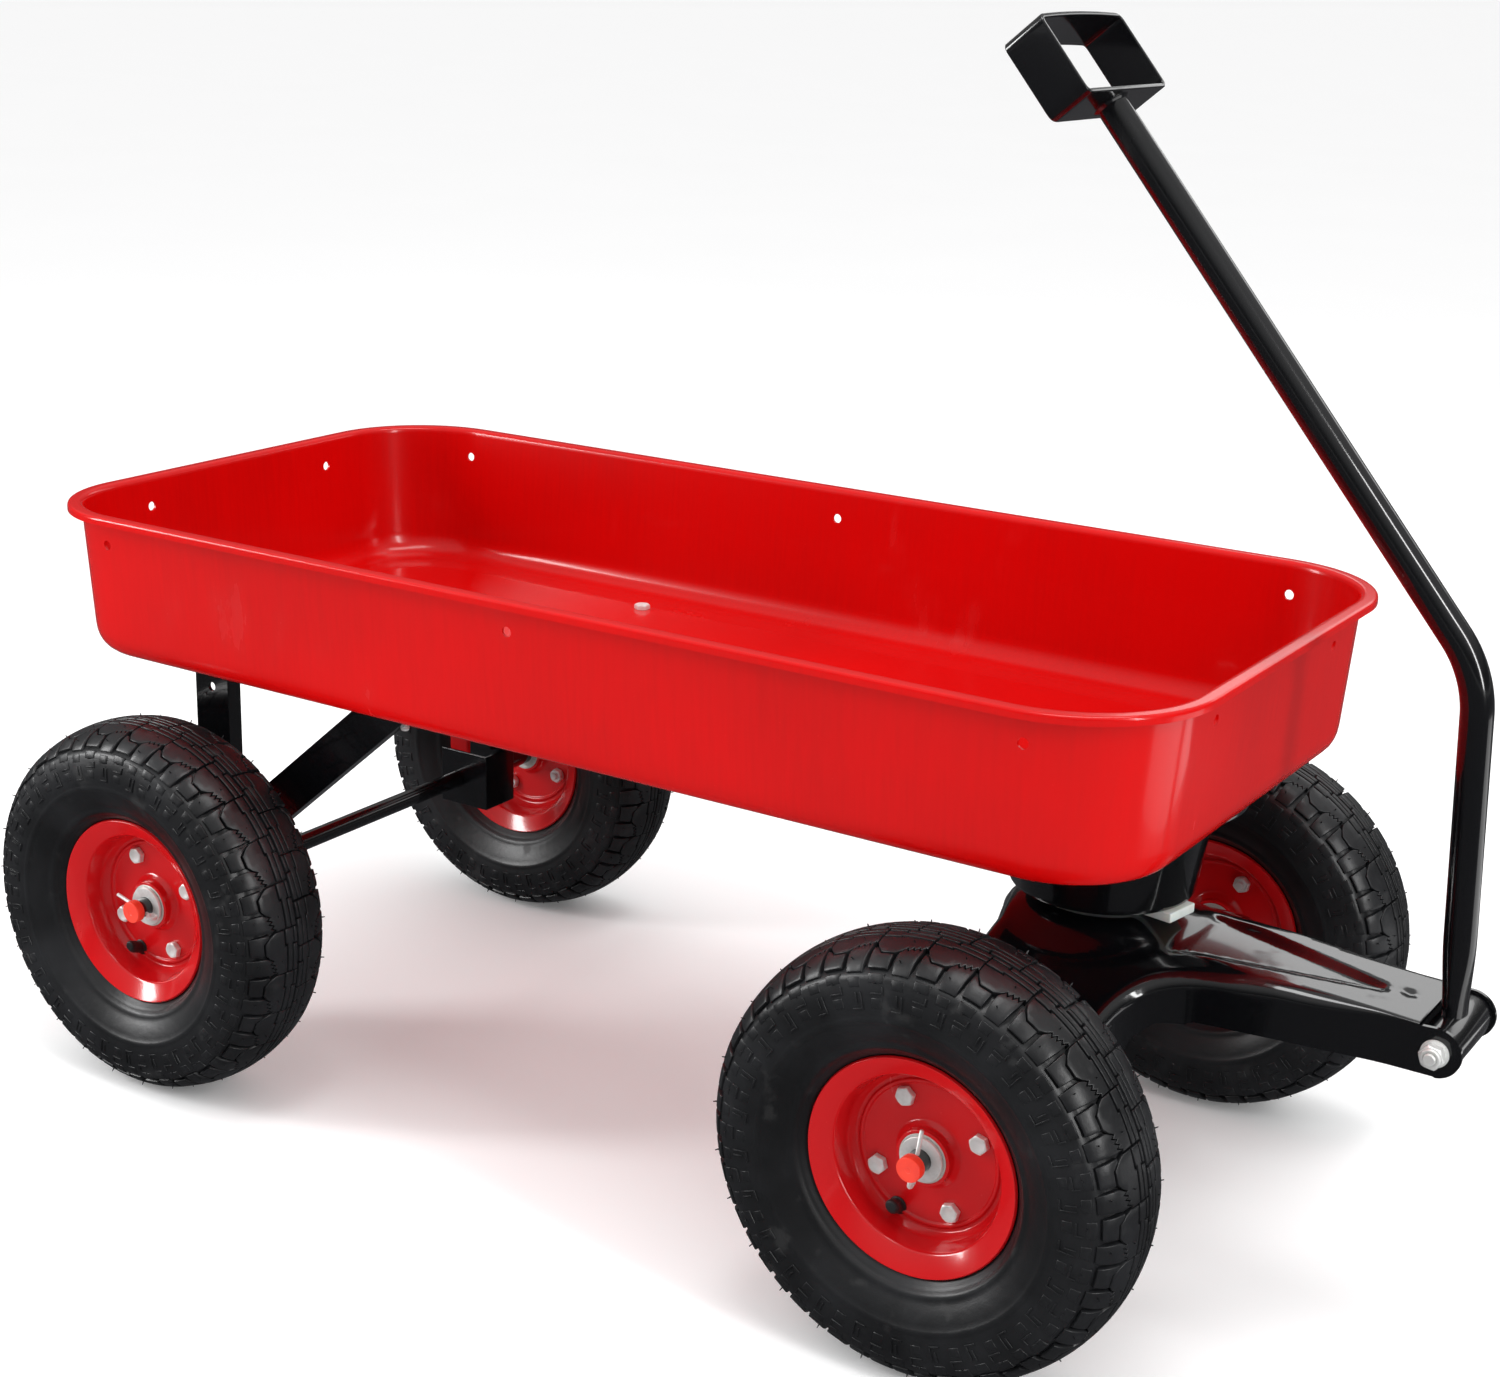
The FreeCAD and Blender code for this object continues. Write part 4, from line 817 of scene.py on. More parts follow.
@dataclass
class Tray:
    """Pressed steel tray: rolled rim, tapered walls, rounded floor edge and a raised floor panel."""

    bench: Bench
    corner: float = 80.0
    lip: float = 9.0
    taper: float = 7.0
    wall: float = 1.5
    hem: float = 5.0
    fillet: float = 20.0
    panel_margin: float = 58.0
    panel_rise: float = 3.0
    least_corner: float = 43.0
    hole: float = 6.5
    hole_drop: float = 21.0
    side_pitch: float = 335.0
    end_pitch: float = 180.0
    corner_steps: int = 22
    side_steps: int = 10
    end_steps: int = 5

    def build(self) -> None:
        """Make the tray."""
        self.low, self.high = self.bench.box("tray")
        mesh = lofted([self._ring(d, z) for d, z in self._section()]).mesh("tray_finished")
        cutter = self._drills()

        def drill(holder: bpy.types.Object) -> None:
            """Cut the rail holes."""
            cut = holder.modifiers.new("rail_holes", "BOOLEAN")
            cut.object = cutter
            cut.solver = "EXACT"
            cut.operation = "DIFFERENCE"

        mesh = evaluated(mesh, drill)
        bpy.data.objects.remove(cutter)
        self.bench.piece("tray", mesh, Finish.TRAY, 32.0, even=True)

    def _section(self) -> list[Point]:
        """Section of the sheet as (distance in from the rim's edge, height), inside first."""
        top, floor = self.high.z, self.low.z
        tall = top - floor

        def wall_at(z: float, skin: float) -> float:
            """How far in the wall's face is at a height."""
            return self.lip + skin + self.taper * (top - z) / tall

        rise = self.panel_rise
        inner_floor = floor + self.wall
        inside = eased([
            (self.panel_margin + 30, inner_floor + rise),
            (self.panel_margin + self.wall + 2.0, inner_floor + rise),
            (self.panel_margin - 2.5, inner_floor),
            (wall_at(inner_floor, self.wall), inner_floor),
            (wall_at(top - 2, self.wall), top + 0.3),
            (0.0, top),
            (0.0, top - self.hem),
        ], [0, 3.5, 3.5, self.fillet, 4.5, 2.6, 0], 8, closed=False)
        outside = eased([
            (self.wall, top - self.hem),
            (self.wall, top - self.wall),
            (wall_at(top - self.wall, 0), top - self.wall),
            (wall_at(floor, 0), floor),
            (self.panel_margin - 2.5, floor),
            (self.panel_margin + self.wall + 2.0, floor + rise),
            (self.panel_margin + 30, floor + rise),
        ], [0, 1.2, 2.2, self.fillet, 3.5, 3.5, 0], 8, closed=False)
        return inside + outside

    def _ring(self, inwards: float, z: float) -> list[Vector]:
        """Rounded rectangle at a distance in from the rim's edge, at one height."""
        half = (self.high - self.low) / 2
        middle = (self.high + self.low) / 2
        wide, deep = half.x - inwards, half.y - inwards
        radius = max(self.corner - inwards, self.least_corner)
        ways = ((-1, 0, 0), (0, -1, 0), (1, 0, 0), (0, 1, 0))
        ring = []
        for quarter, (sx, sy) in enumerate(((1, 1), (-1, 1), (-1, -1), (1, -1))):
            centre = Vector((sx * (wide - radius), sy * (deep - radius)))
            for k in range(self.corner_steps + 1):
                angle = math.radians(90 * (quarter + k / self.corner_steps))
                spot = centre + Vector((math.cos(angle), math.sin(angle))) * radius
                ring.append(Vector((middle.x + spot.x, middle.y + spot.y, z)))
            on_long_side = quarter % 2 == 0
            reach = 2 * ((wide if on_long_side else deep) - radius)
            steps = self.side_steps if on_long_side else self.end_steps
            last = ring[-1]
            ring.extend(last + Vector(ways[quarter]) * (reach * k / steps) for k in range(1, steps))
        return ring

    def _drills(self) -> bpy.types.Object:
        """Cutter for the rail holes: three in each long wall and two in each end."""
        middle = (self.high + self.low) / 2
        half = (self.high - self.low) / 2
        z = self.high.z - self.hole_drop
        drills = Shape()
        rod = lathe([(0.0, -30.0), (self.hole / 2, -30.0), (self.hole / 2, 30.0), (0.0, 30.0)], 28, False)
        for side in (-1, 1):
            for step in (-1, 0, 1):
                spot = (middle.x + self.side_pitch * step, (half.y - self.lip) * side, z)
                drills.add(rod.moved(along_y(spot)))
            for step in (-0.5, 0.5):
                spot = Vector((middle.x + (half.x - self.lip) * side, self.end_pitch * step, z))
                drills.add(rod.moved(Matrix.Translation(spot) @ Matrix.Rotation(math.pi / 2, 4, "Z")))
        cutter = bpy.data.objects.new("rail_drills", drills.mesh("rail_drills"))
        bpy.context.scene.collection.objects.link(cutter)
        return cutter


# ---------------------------------------------------------------------------
# Wheels


@dataclass
class TyreSurface:
    """The tyre's outer curve, walked from the crown down one sidewall."""

    knots: tuple[Point, ...] = (
        (127.0, 0.0), (126.3, 10.0), (124.5, 18.6), (121.4, 27.4), (115.6, 33.9), (108.4, 36.8),
        (101.0, 38.0), (93.5, 38.0), (86.0, 36.6), (78.0, 33.2), (71.0, 29.0), (66.4, 25.9),
    )

    def __post_init__(self) -> None:
        """Sample the curve finely and measure it."""
        pts = [np.array(p) for p in self.knots]
        pts = [pts[1] * (1, -1)] + pts + [pts[-1] * 2 - pts[-2]]
        fine = []
        for i in range(1, len(pts) - 2):
            a, b, c, d = pts[i - 1:i + 3]
            for t in np.linspace(0, 1, 12, endpoint=False):
                fine.append(0.5 * (2 * b + (c - a) * t + (2 * a - 5 * b + 4 * c - d) * t ** 2
                                   + (3 * b - a - 3 * c + d) * t ** 3))
        fine.append(pts[-2])
        self.fine = np.array(fine)
        steps = np.linalg.norm(np.diff(self.fine, axis=0), axis=1)
        self.run = np.concatenate(([0.0], np.cumsum(steps)))
        slope = np.gradient(self.fine, self.run, axis=0)
        self.out = np.stack((slope[:, 1], -slope[:, 0]), axis=1)

    def at(self, s: float, height: float = 0.0) -> Point:
        """Radius and offset from the middle plane at a distance from the crown.

        Args:
            s: distance along the curve, negative on the inner side.
            height: how far the point stands off the curve.

        Returns:
            The radius and the offset.
        """
        far = min(abs(s), self.run[-1])
        radius, across = (np.interp(far, self.run, self.fine[:, i]) for i in (0, 1))
        out_r, out_a = (np.interp(far, self.run, self.out[:, i]) for i in (0, 1))
        size = math.hypot(out_r, out_a)
        across += out_a / size * height
        return float(radius + out_r / size * height), float(math.copysign(across, s) if s else across)


@dataclass
class Tread:
    """One pitch of the tyre's tread, laid out flat as (share of the pitch, distance from the crown)."""

    surface: TyreSurface
    pitches: int = 26
    depth: float = 3.3
    draft: float = 0.45
    cell_gap: float = 0.65
    groove_end: float = 33.0
    groove_fade: float = 8.0
    ridges: tuple[Triple, ...] = ((0.7, 65.0, 1.3), (1.1, 84.5, 2.2))
    nubs: tuple[Triple, ...] = ((0.3, 31.0, 2.2), (0.75, 44.0, 1.6), (0.31, 14.0, 1.2))
    teeth: tuple[Point, ...] = (
        (0.00, 19.2), (0.045, 16.8), (0.095, 20.2), (0.145, 17.8), (0.195, 21.2), (0.245, 18.8),
        (0.295, 22.2), (0.345, 19.8), (0.41, 23.2), (0.52, 26.0), (0.78, 26.0), (0.90, 22.0),
        (1.00, 19.2),
    )

    def cells(self) -> list[tuple[list[Point], float]]:
        """The blocks of one side: each outline with the height of its top above the curve."""
        gap = self.cell_gap
        low = [(u, s - gap) for u, s in self.teeth if 0.02 <= u <= 0.97]
        left_teeth = [(u, s + gap) for u, s in self.teeth if 0.04 <= u <= 0.42]
        right_teeth = [(u, s + gap) for u, s in self.teeth if 0.5 <= u <= 0.98]
        cells = [
            ([(0.02, 1.0), (0.60, 1.0), (0.60, 4.3), (0.02, 4.3)], 0.0),
            ([(0.64, 1.0), (0.98, 1.0), (0.98, 3.0), (0.64, 3.0)], 0.0),
            ([(0.02, 5.2), (0.645, 5.2), (0.645, 4.0), (0.98, 4.0), (0.98, 10.0), (0.66, 10.0),
              (0.66, 8.6), (0.02, 8.6)], 0.0),
            ([(0.02, 9.8), (0.61, 9.8), (0.61, 11.4), (0.98, 11.4), (0.97, 17.6)] + low[::-1]
             + [(0.0, 17.0)], 0.0),
            (left_teeth + [(0.43, 25.2), (0.43, 30.0), (0.41, 38.5), (0.06, 38.5), (0.03, 22.6)], 0.1),
            (right_teeth + [(0.965, 22.4), (0.94, 36.0), (0.53, 36.0), (0.52, 28.5)], 0.1),
            ([(0.10, 41.0), (0.38, 41.0), (0.37, 46.5), (0.11, 46.5)], 0.3),
            ([(0.56, 38.8), (0.91, 38.8), (0.90, 44.2), (0.57, 44.2)], 0.3),
            ([(0.60, 52.0), (0.86, 52.0), (0.86, 57.5), (0.60, 57.5)], 0.25),
        ]
        lines = [
            [(0.09, 49.0), (0.12, 49.0), (0.12, 58.5), (0.09, 58.5)],
            [(0.12, 57.6), (0.36, 57.6), (0.36, 58.5), (0.12, 58.5)],
            [(0.21, 49.0), (0.24, 49.0), (0.24, 55.0), (0.21, 55.0)],
            [(0.56, 45.8), (0.59, 45.8), (0.59, 50.0), (0.56, 50.0)],
            [(0.59, 49.1), (0.86, 49.1), (0.86, 50.0), (0.59, 50.0)],
        ]
        return cells + [(line, 0.7) for line in lines]

    def _prism(self, outline: Sequence[Point], top: float, mirror: bool) -> Shape:
        """One block: its sides, broken upper corner and curved top, on one side of the tyre."""
        pitch = 2 * math.pi * self.surface.fine[0][0] / self.pitches
        flat = divided([(u * pitch, s) for u, s in outline], 4.5)
        area = sum(a[0] * b[1] - b[0] * a[1] for a, b in zip(flat, flat[1:] + flat[:1]))
        if area < 0:
            flat.reverse()
        thin = min(max(p[0] for p in flat) - min(p[0] for p in flat),
                   max(p[1] for p in flat) - min(p[1] for p in flat))
        ease = min(self.draft, thin * 0.2)
        rows = [(inset(flat, -ease * 0.6), -self.depth - 0.4), (flat, top - ease * 0.8),
                (inset(flat, ease * 0.45), top - ease * 0.2), (inset(flat, ease), top)]
        shape = Shape()
        for row, height in rows:
            shape.points.extend(self._spot(u, s, height, mirror, pitch) for u, s in row)
        count = len(flat)
        for i in range(len(rows) - 1):
            for k in range(count):
                j = (k + 1) % count
                low, high = i * count, (i + 1) * count
                shape.faces.append((low + k, low + j, high + j, high + k))
        cap = rows[-1][0]
        grid = self._inside(cap)
        verts = [Vector(p) for p in list(cap) + grid]
        edges = [(k, (k + 1) % count) for k in range(count)]
        spots, _, faces, _, _, _ = delaunay_2d_cdt(verts, edges, [], 1, 1e-5)
        lid = Shape([self._spot(p.x, p.y, top, mirror, pitch) for p in spots], [tuple(f) for f in faces])
        shape.add(lid)
        shape.faces.append(tuple(range(count)))
        return shape

    def _inside(self, polygon: Sequence[Point], step: float = 4.6) -> list[Point]:
        """Grid points well inside a polygon."""
        xs, ys = [p[0] for p in polygon], [p[1] for p in polygon]
        found = []
        for x in np.arange(min(xs) + step / 2, max(xs), step):
            for y in np.arange(min(ys) + step / 2, max(ys), step):
                inside = False
                near = 1e9
                for (ax, ay), (bx, by) in zip(polygon, list(polygon[1:]) + [polygon[0]]):
                    if (ay > y) != (by > y) and x < (bx - ax) * (y - ay) / (by - ay) + ax:
                        inside = not inside
                    near = min(near, math.hypot(ax - x, ay - y))
                if inside and near > 1.2:
                    found.append((float(x), float(y)))
        return found

    def _spot(self, u: float, s: float, height: float, mirror: bool, pitch: float) -> Vector:
        """Point on the tyre of a place on the flat layout, about the wheel's middle."""
        if mirror:
            u, s = u + pitch * 0.5, -s
        radius, across = self.surface.at(s, height)
        angle = u / pitch * 2 * math.pi / self.pitches
        return Vector((radius * math.cos(angle), across, radius * math.sin(angle)))

    def pitch_mesh(self) -> bpy.types.Mesh:
        """All blocks of one pitch, on both sides, with their vent nubs."""
        shape = Shape()
        for outline, top in self.cells():
            for mirror in (False, True):
                shape.add(self._prism(outline, top, mirror))
        pitch = 2 * math.pi * self.surface.fine[0][0] / self.pitches
        for u, s, reach in self.nubs:
            for mirror in (False, True):
                base = self._spot(u * pitch, s, -0.3, mirror, pitch)
                tip = self._spot((u + 0.01) * pitch, s, reach, mirror, pitch)
                shape.add(self._nub(base, tip))
        return shape.mesh("tread_pitch", merge=1e-4)

    def _nub(self, base: Vector, tip: Vector) -> Shape:
        """Thin moulding whisker left by a vent."""
        turn = (tip - base).to_track_quat("Y", "Z").to_matrix().to_4x4()
        long = (tip - base).length
        nub = lathe([(0.0, 0.0), (0.45, 0.0), (0.3, long), (0.0, long)], 6, closed=False)
        return nub.moved(Matrix.Translation(base) @ turn)

    def carcass(self) -> Shape:
        """The tyre under its blocks: groove floors, sidewalls, rim guard and beads."""
        side = []
        for s in np.linspace(0.0, self.surface.run[-1], 62):
            sunk = self.depth * (1 - min(max((s - self.groove_end) / self.groove_fade, 0.0), 1.0))
            ridge = sum(tall * math.exp(-((s - place) / wide) ** 2) for tall, place, wide in self.ridges)
            side.append(self.surface.at(float(s), ridge - sunk))
        side += [(64.4, 22.9), (53.1, 15.9), (51.0, 7.0)]
        return lathe([(r, -a) for r, a in side[:0:-1]] + side, 156)


@dataclass
class Wheel:
    """One pneumatic wheel: treaded tyre, two pressed rim halves, bolts, nuts, bearings and valve."""

    bench: Bench
    name: str
    tread: Tread
    ring: RingTree
    pitch: bpy.types.Mesh
    carcass: Shape
    bore: float = 11.35
    dish: float = 48.0
    plate: float = 2.0
    edge: float = 63.5
    lip: float = 24.7
    pocket: float = 14.3
    hub: float = 9.9
    stem_lean: float = 7.0
    bolt: HexFastener = HexFastener(10.0, 4.0, 6.0)
    nut: HexFastener = HexFastener(10.0, 5.0, 6.0)

    def build(self) -> None:
        """Make the wheel's pieces."""
        low, high = self.bench.box(f"{self.name}_tyre")
        self.centre = (low + high) / 2
        self.way = 1.0 if self.centre.y > 0 else -1.0
        self._tyre()
        self._rims()
        self._bolts()
        self._bearings()
        self._valve()

    def _tyre(self) -> None:
        """Carcass with the tread's pitches repeated round it."""
        blocks = self.ring.repeat(self.pitch.copy(), self.tread.pitches, self.centre, Finish.TYRE, 0.004)
        base = self.carcass.moved(Matrix.Translation(self.centre)).mesh("carcass")
        whole = joined((base, blocks), f"{self.name}_tyre_finished")
        self.bench.piece(f"{self.name}_tyre", whole, Finish.TYRE, 48.0)

    def _rim_section(self, side: float) -> list[Point]:
        """Section of one rim half; side is 1 for the outer half and -1 for the inner."""
        bore, dish, plate, edge = self.bore, self.dish, self.plate, self.edge
        lip, pocket = self.lip, self.pocket
        outline = [
            (bore, 0.0), (dish, 0.0), (dish + 2.2, plate + 3), (dish + 4.5, lip - 8.5),
            (edge + 0.5, lip - 1.5), (edge - 0.6, lip + 0.3), (dish + 3.2, lip - 6.6),
            (dish + 0.6, plate + 4.4), (dish - 2.6, plate), (dish - 4.5, plate),
            (dish - 5.4, plate + 1.2),
            (dish - 6.8, plate + 1.2), (dish - 7.8, plate), (pocket + plate + 3.6, plate),
            (pocket + plate + 0.3, plate + 3.4), (pocket + plate, self.hub), (pocket, self.hub),
            (pocket, plate), (bore, plate),
        ]
        radii = [0.3, 1.5, 6, 4, 0.5, 0.5, 3.2, 9, 3.5, 1.0, 1.0, 1.0, 1.0, 3.0, 3.0, 0.7, 0.3, 0.3, 0.3]
        return [(r, a * side) for r, a in eased(outline, radii, 5)]

    def _rims(self) -> None:
        """Both rim halves, pressed from sheet."""
        for half, side in (("outer", 1.0), ("inner", -1.0)):
            shape = lathe(self._rim_section(side), 128).moved(along_y(self.centre, self.way))
            node = f"{self.name}_rim_{half}"
            self.bench.skin(node, shape, Finish.RIM, 40.0)

    def _bolts(self) -> None:
        """Four bolts and their nuts, repeated round the hub."""
        for node, shape, outer in (
            (f"{self.name}_rim_bolts", self.bolt.head(), True),
            (f"{self.name}_rim_nuts", self.nut.nut().add(self.bolt.thread(1.0, 7.5)), False),
        ):
            solids = self.bench.solids(node)
            low, high = solids[0]
            spot = (low + high) / 2 - self.centre
            way = self.way if outer else -self.way
            start = self.plate * way
            flat = shape.moved(along_y((spot.x, start, spot.z), way, 0.3))
            mesh = flat.mesh(f"{node}_one")
            rung = self.ring.repeat(mesh, len(solids), self.centre, Finish.ZINC)
            rung.name = f"{node}_finished"
            self.bench.piece(node, rung, Finish.ZINC, 30.0)

    def _bearings(self) -> None:
        """Two shielded ball bearings in the hub's pockets."""
        node = f"{self.name}_bearings"
        shape = Shape()
        for low, high in self.bench.solids(node):
            wide = high.y - low.y
            way = 1.0 if (low + high).y / 2 > self.centre.y else -1.0
            start = low.y if way > 0 else high.y
            section = eased([
                (6.45, 0), (self.pocket, 0), (self.pocket, wide), (12.4, wide), (12.2, wide - 0.6),
                (8.9, wide - 0.6), (8.7, wide), (6.45, wide),
            ], 0.25, 3)
            shape.add(lathe(section, 72).moved(along_y((self.centre.x, start, self.centre.z), way)))
        self.bench.skin(node, shape, Finish.RACE, 35.0)

    def _valve(self) -> None:
        """Rubber valve stem with a ribbed cap."""
        node = f"{self.name}_valve"
        low, high = self.bench.box(node)
        middle = (low + high) / 2
        long = high.y - low.y
        start = low.y if self.way > 0 else high.y
        section = eased([
            (0.0, 0.0), (5.2, 0.0), (5.4, 2.6), (4.1, 3.4), (3.7, 6.4), (4.2, 6.9), (4.2, long - 2.2),
            (3.2, long), (0.0, long),
        ], [0, 0.4, 1.0, 1.0, 0.6, 0.4, 1.4, 1.4, 0], 4, closed=False)
        stem = lathe(section, 32, closed=False)
        for p in stem.points:
            if 7.0 < p.y < long - 2.4:
                angle = math.atan2(p.z, p.x)
                grip = 1 + 0.035 * math.cos(angle * 16)
                p.x, p.z = p.x * grip, p.z * grip
        out = Vector((middle.x - self.centre.x, 0, middle.z - self.centre.z)).normalized()
        placed = stem.moved(along_y((middle.x, start, middle.z), self.way))
        for p in placed.points:
            share = abs(p.y - start) / long
            p += out * (self.stem_lean * (0.6 - share))
        self.bench.skin(node, placed, Finish.STEM, 40.0)


@dataclass
class AxleEnds:
    """One axle with the spacers, washers, split pins and end caps on it."""

    bench: Bench
    end: str

    def build(self) -> None:
        """Make the axle's pieces."""
        self.bench.carried(f"{self.end}_axle", Finish.BLACK)
        self.bench.carried(f"{self.end}_axle_spacers", Finish.BLACK)
        self.bench.carried(f"{self.end}_split_pins", Finish.ZINC, 0.0)
        self._turned("hub_washers", Finish.ZINC, 0.45)
        self._caps()

    def _turned(self, what: str, finish: Finish, ease: float) -> None:
        """Turned rings, one to a side, with rounded corners."""
        node = f"{self.end}_{what}"
        shape = Shape()
        for low, high in self.bench.solids(node):
            middle = (low + high) / 2
            radius, half = (high.x - low.x) / 2, (high.y - low.y) / 2
            section = eased([(6.42, -half), (radius, -half), (radius, half), (6.42, half)], ease, 4)
            shape.add(lathe(section, 72).moved(along_y(middle)))
        self.bench.skin(node, shape, finish, 40.0)

    def _caps(self) -> None:
        """Pushed-on plastic end caps with a soft edge and a moulding mark."""
        node = f"{self.end}_axle_caps"
        shape = Shape()
        for low, high in self.bench.solids(node):
            middle = (low + high) / 2
            way = 1.0 if middle.y > 0 else -1.0
            radius, tall = (high.x - low.x) / 2, high.y - low.y
            start = low.y if way > 0 else high.y
            section = eased([
                (0.0, tall - 1.0), (6.35, tall - 1.0), (6.35, 0.0), (radius, 0.0), (radius, tall),
                (1.9, tall), (1.7, tall - 0.25), (0.0, tall - 0.25),
            ], [0, 0.2, 0.2, 0.3, 0.9, 0.2, 0.2, 0], 5, closed=False)
            shape.add(lathe(section, 56, closed=False).moved(along_y((middle.x, start, middle.z), way)))
        self.bench.skin(node, shape, Finish.CAP, 40.0)


# ---------------------------------------------------------------------------
# Steering


@dataclass
class SteeringYoke:
    """Pressed steel yoke: arched arms, a raised round boss, and a tongue that ends in two ears."""

    bench: Bench
    front_x: float = 243.5
    pivot_x: float = 459.0
    pivot_z: float = 181.5
    crown_z: float = 204.6
    arm_half: float = 48.5
    span: float = 150.0
    root: float = 56.0
    tip: float = 33.0
    straight: float = 429.0
    throat: float = 448.8
    sweep: float = 58.0
    boss: float = 50.0
    boss_rise: float = 8.0
    skirt_out: float = 13.0
    crown_half: float = 34.0
    arm_slope: float = 0.41
    ear: float = 14.5
    fold: float = 8.5
    throat_fold: float = 1.0
    tightening: float = 380.0
    flute_start: float = 62.0
    flute_wide: float = 37.0
    flute_narrow: float = 8.0
    flute_depth: float = 3.0
    flute_slope: float = 9.0
    dimple_depth: float = 1.5
    dimple_reach: float = 3.2
    skirt_z: float = 167.6
    foot_z: float = 112.0
    sheet: float = 2.5
    grain: float = 3.0

    def build(self) -> None:
        """Make the yoke from its folded outline."""
        edge = self._outline()
        self.edge = np.array(edge)
        skin = self._plate(edge).add(self._skirt(edge))
        mesh = skin.mesh("steering_yoke_finished", merge=0.02)

        def thicken(holder: bpy.types.Object) -> None:
            """Give the sheet its thickness, inwards."""
            wall = holder.modifiers.new("sheet", "SOLIDIFY")
            wall.thickness = self.sheet * MM
            wall.offset = -1.0
            wall.use_even_offset = False

        self._face_up(mesh)
        self.bench.piece("steering_yoke", evaluated(mesh, thicken), Finish.BLACK, 50.0)

    def _face_up(self, mesh: bpy.types.Mesh) -> None:
        """Turn every face of the open skin to its outer side."""
        work = bmesh.new()
        work.from_mesh(mesh)
        highest = max(work.faces, key=lambda f: f.calc_center_median().z)
        if highest.normal.z < 0:
            bmesh.ops.reverse_faces(work, faces=work.faces)
        work.to_mesh(mesh)
        work.free()

    def _outline(self) -> list[Point]:
        """Folded edge in plan, from the left ear round the arms to the right ear."""
        front, rear = self.front_x + self.arm_half, self.front_x - self.arm_half
        foot = self.boss + self.boss_rise
        side = [(self.throat, self.tip), (self.straight, self.tip), (front, self.root),
                (front, self.span), (rear, self.span), (rear, 40.0)]
        radii = [0, 90.0, self.sweep, 12.0, 12.0, 26.0]
        bulge = [(self.front_x - math.sqrt(foot ** 2 - y ** 2), y) for y in (24.0, 16.0, 8.0, 0.0)]
        points = side + bulge + [(x, -y) for x, y in bulge[-2::-1]] + [(x, -y) for x, y in side[::-1]]
        sizes = radii + [8.0] * 7 + radii[::-1]
        return divided(eased(points, sizes, 10, closed=False), self.grain, closed=False)

    def _fold_at(self, x: float) -> float:
        """Radius of the fold, which tightens towards the ears."""
        share = smooth((x - self.tightening) / (self.throat - self.tightening))
        return self.fold + (self.throat_fold - self.fold) * share

    def _top(self, x: float, y: float) -> float:
        """Height of the sheet before its edges are folded."""
        reach = abs(y) - self.crown_half
        soft = 24.0
        if reach < -soft:
            arch = self.crown_z
        elif reach < soft:
            arch = self.crown_z - self.arm_slope * (reach + soft) ** 2 / (4 * soft)
        else:
            arch = self.crown_z - self.arm_slope * reach
        ahead = max(0.0, x - self.front_x - self.arm_half)
        fall = (self.crown_z - self.pivot_z - self.ear) / (self.pivot_x - self.front_x - self.arm_half)
        slope = self.crown_z - ahead * fall
        z = min(arch, slope) if x > self.front_x + self.arm_half else arch
        away = math.hypot(x - self.front_x, y)
        lift = smooth((self.boss + self.skirt_out - away) / (2 * self.skirt_out))
        raised = self.crown_z + self.boss_rise
        z += (raised - z) * lift
        return z - self._flute(x, y)

    def _flute(self, x: float, y: float) -> float:
        """Depth of the long pressed flute on the tongue and the dimple before the ears."""
        start, end = self.front_x + self.flute_start, self.straight - 14.0
        share = min(max((x - start) / (end - start), 0.0), 1.0)
        half = self.flute_wide + (self.flute_narrow - self.flute_wide) * share
        if x > end:
            inside = half - math.hypot(x - end, y)
        else:
            inside = min(half - abs(y), (x - start) + 6.0)
        away = math.hypot(x - self.straight - 3.0, y - 2.0)
        dimple = self.dimple_depth * math.exp(-(away / self.dimple_reach) ** 2)
        return self.flute_depth * smooth(inside / self.flute_slope) + dimple

    def _height(self, x: float, y: float) -> float:
        """Height of the finished sheet, with its edge folded down."""
        gaps = self._gap(x, y)
        fold = self._fold_at(x)
        drop = fold - math.sqrt(max(fold ** 2 - (fold - gaps) ** 2, 0.0)) if gaps < fold else 0.0
        return self._top(x, y) - drop

    def _gap(self, x: float, y: float) -> float:
        """Distance from a place in plan to the folded edge."""
        one, two = self.edge[:-1], self.edge[1:]
        way = two - one
        t = np.clip((((x, y) - one) * way).sum(1) / np.maximum((way * way).sum(1), 1e-9), 0, 1)
        return float(np.sqrt((((one + way * t[:, None]) - (x, y)) ** 2).sum(1)).min())

    def _plate(self, edge: Sequence[Point]) -> Shape:
        """Top of the yoke, meshed inside its outline."""
        verts = [Vector(p) for p in edge]
        edges = [(k, k + 1) for k in range(len(edge) - 1)] + [(len(edge) - 1, 0)]
        way = [Vector((0, 0))] * len(edge)
        for k in range(len(edge)):
            before = Vector(edge[max(k - 1, 0)])
            after = Vector(edge[min(k + 1, len(edge) - 1)])
            d = (after - before).normalized()
            way[k] = Vector((-d.y, d.x))
        for share in (0.03, 0.12, 0.3, 0.6, 1.0):
            start = len(verts)
            for k, p in enumerate(edge):
                verts.append(Vector(p) + way[k] * (self._fold_at(p[0]) * share))
            edges += [(start + k, start + k + 1) for k in range(len(edge) - 1)]
        for x in np.arange(self.front_x - 60, self.throat - 1, self.grain):
            for y in np.arange(-self.span + 1.5, self.span, self.grain):
                spot = Vector((float(x), float(y)))
                if self._within(x, y) and self._gap(x, y) > self._fold_at(x) + 1.2:
                    verts.append(spot)
        spots, _, faces, _, _, _ = delaunay_2d_cdt(verts, edges, [], 1, 1e-4)
        tall = [self._height(p.x, p.y) for p in spots]
        return Shape([Vector((p.x, p.y, z)) for p, z in zip(spots, tall)], [tuple(f) for f in faces])

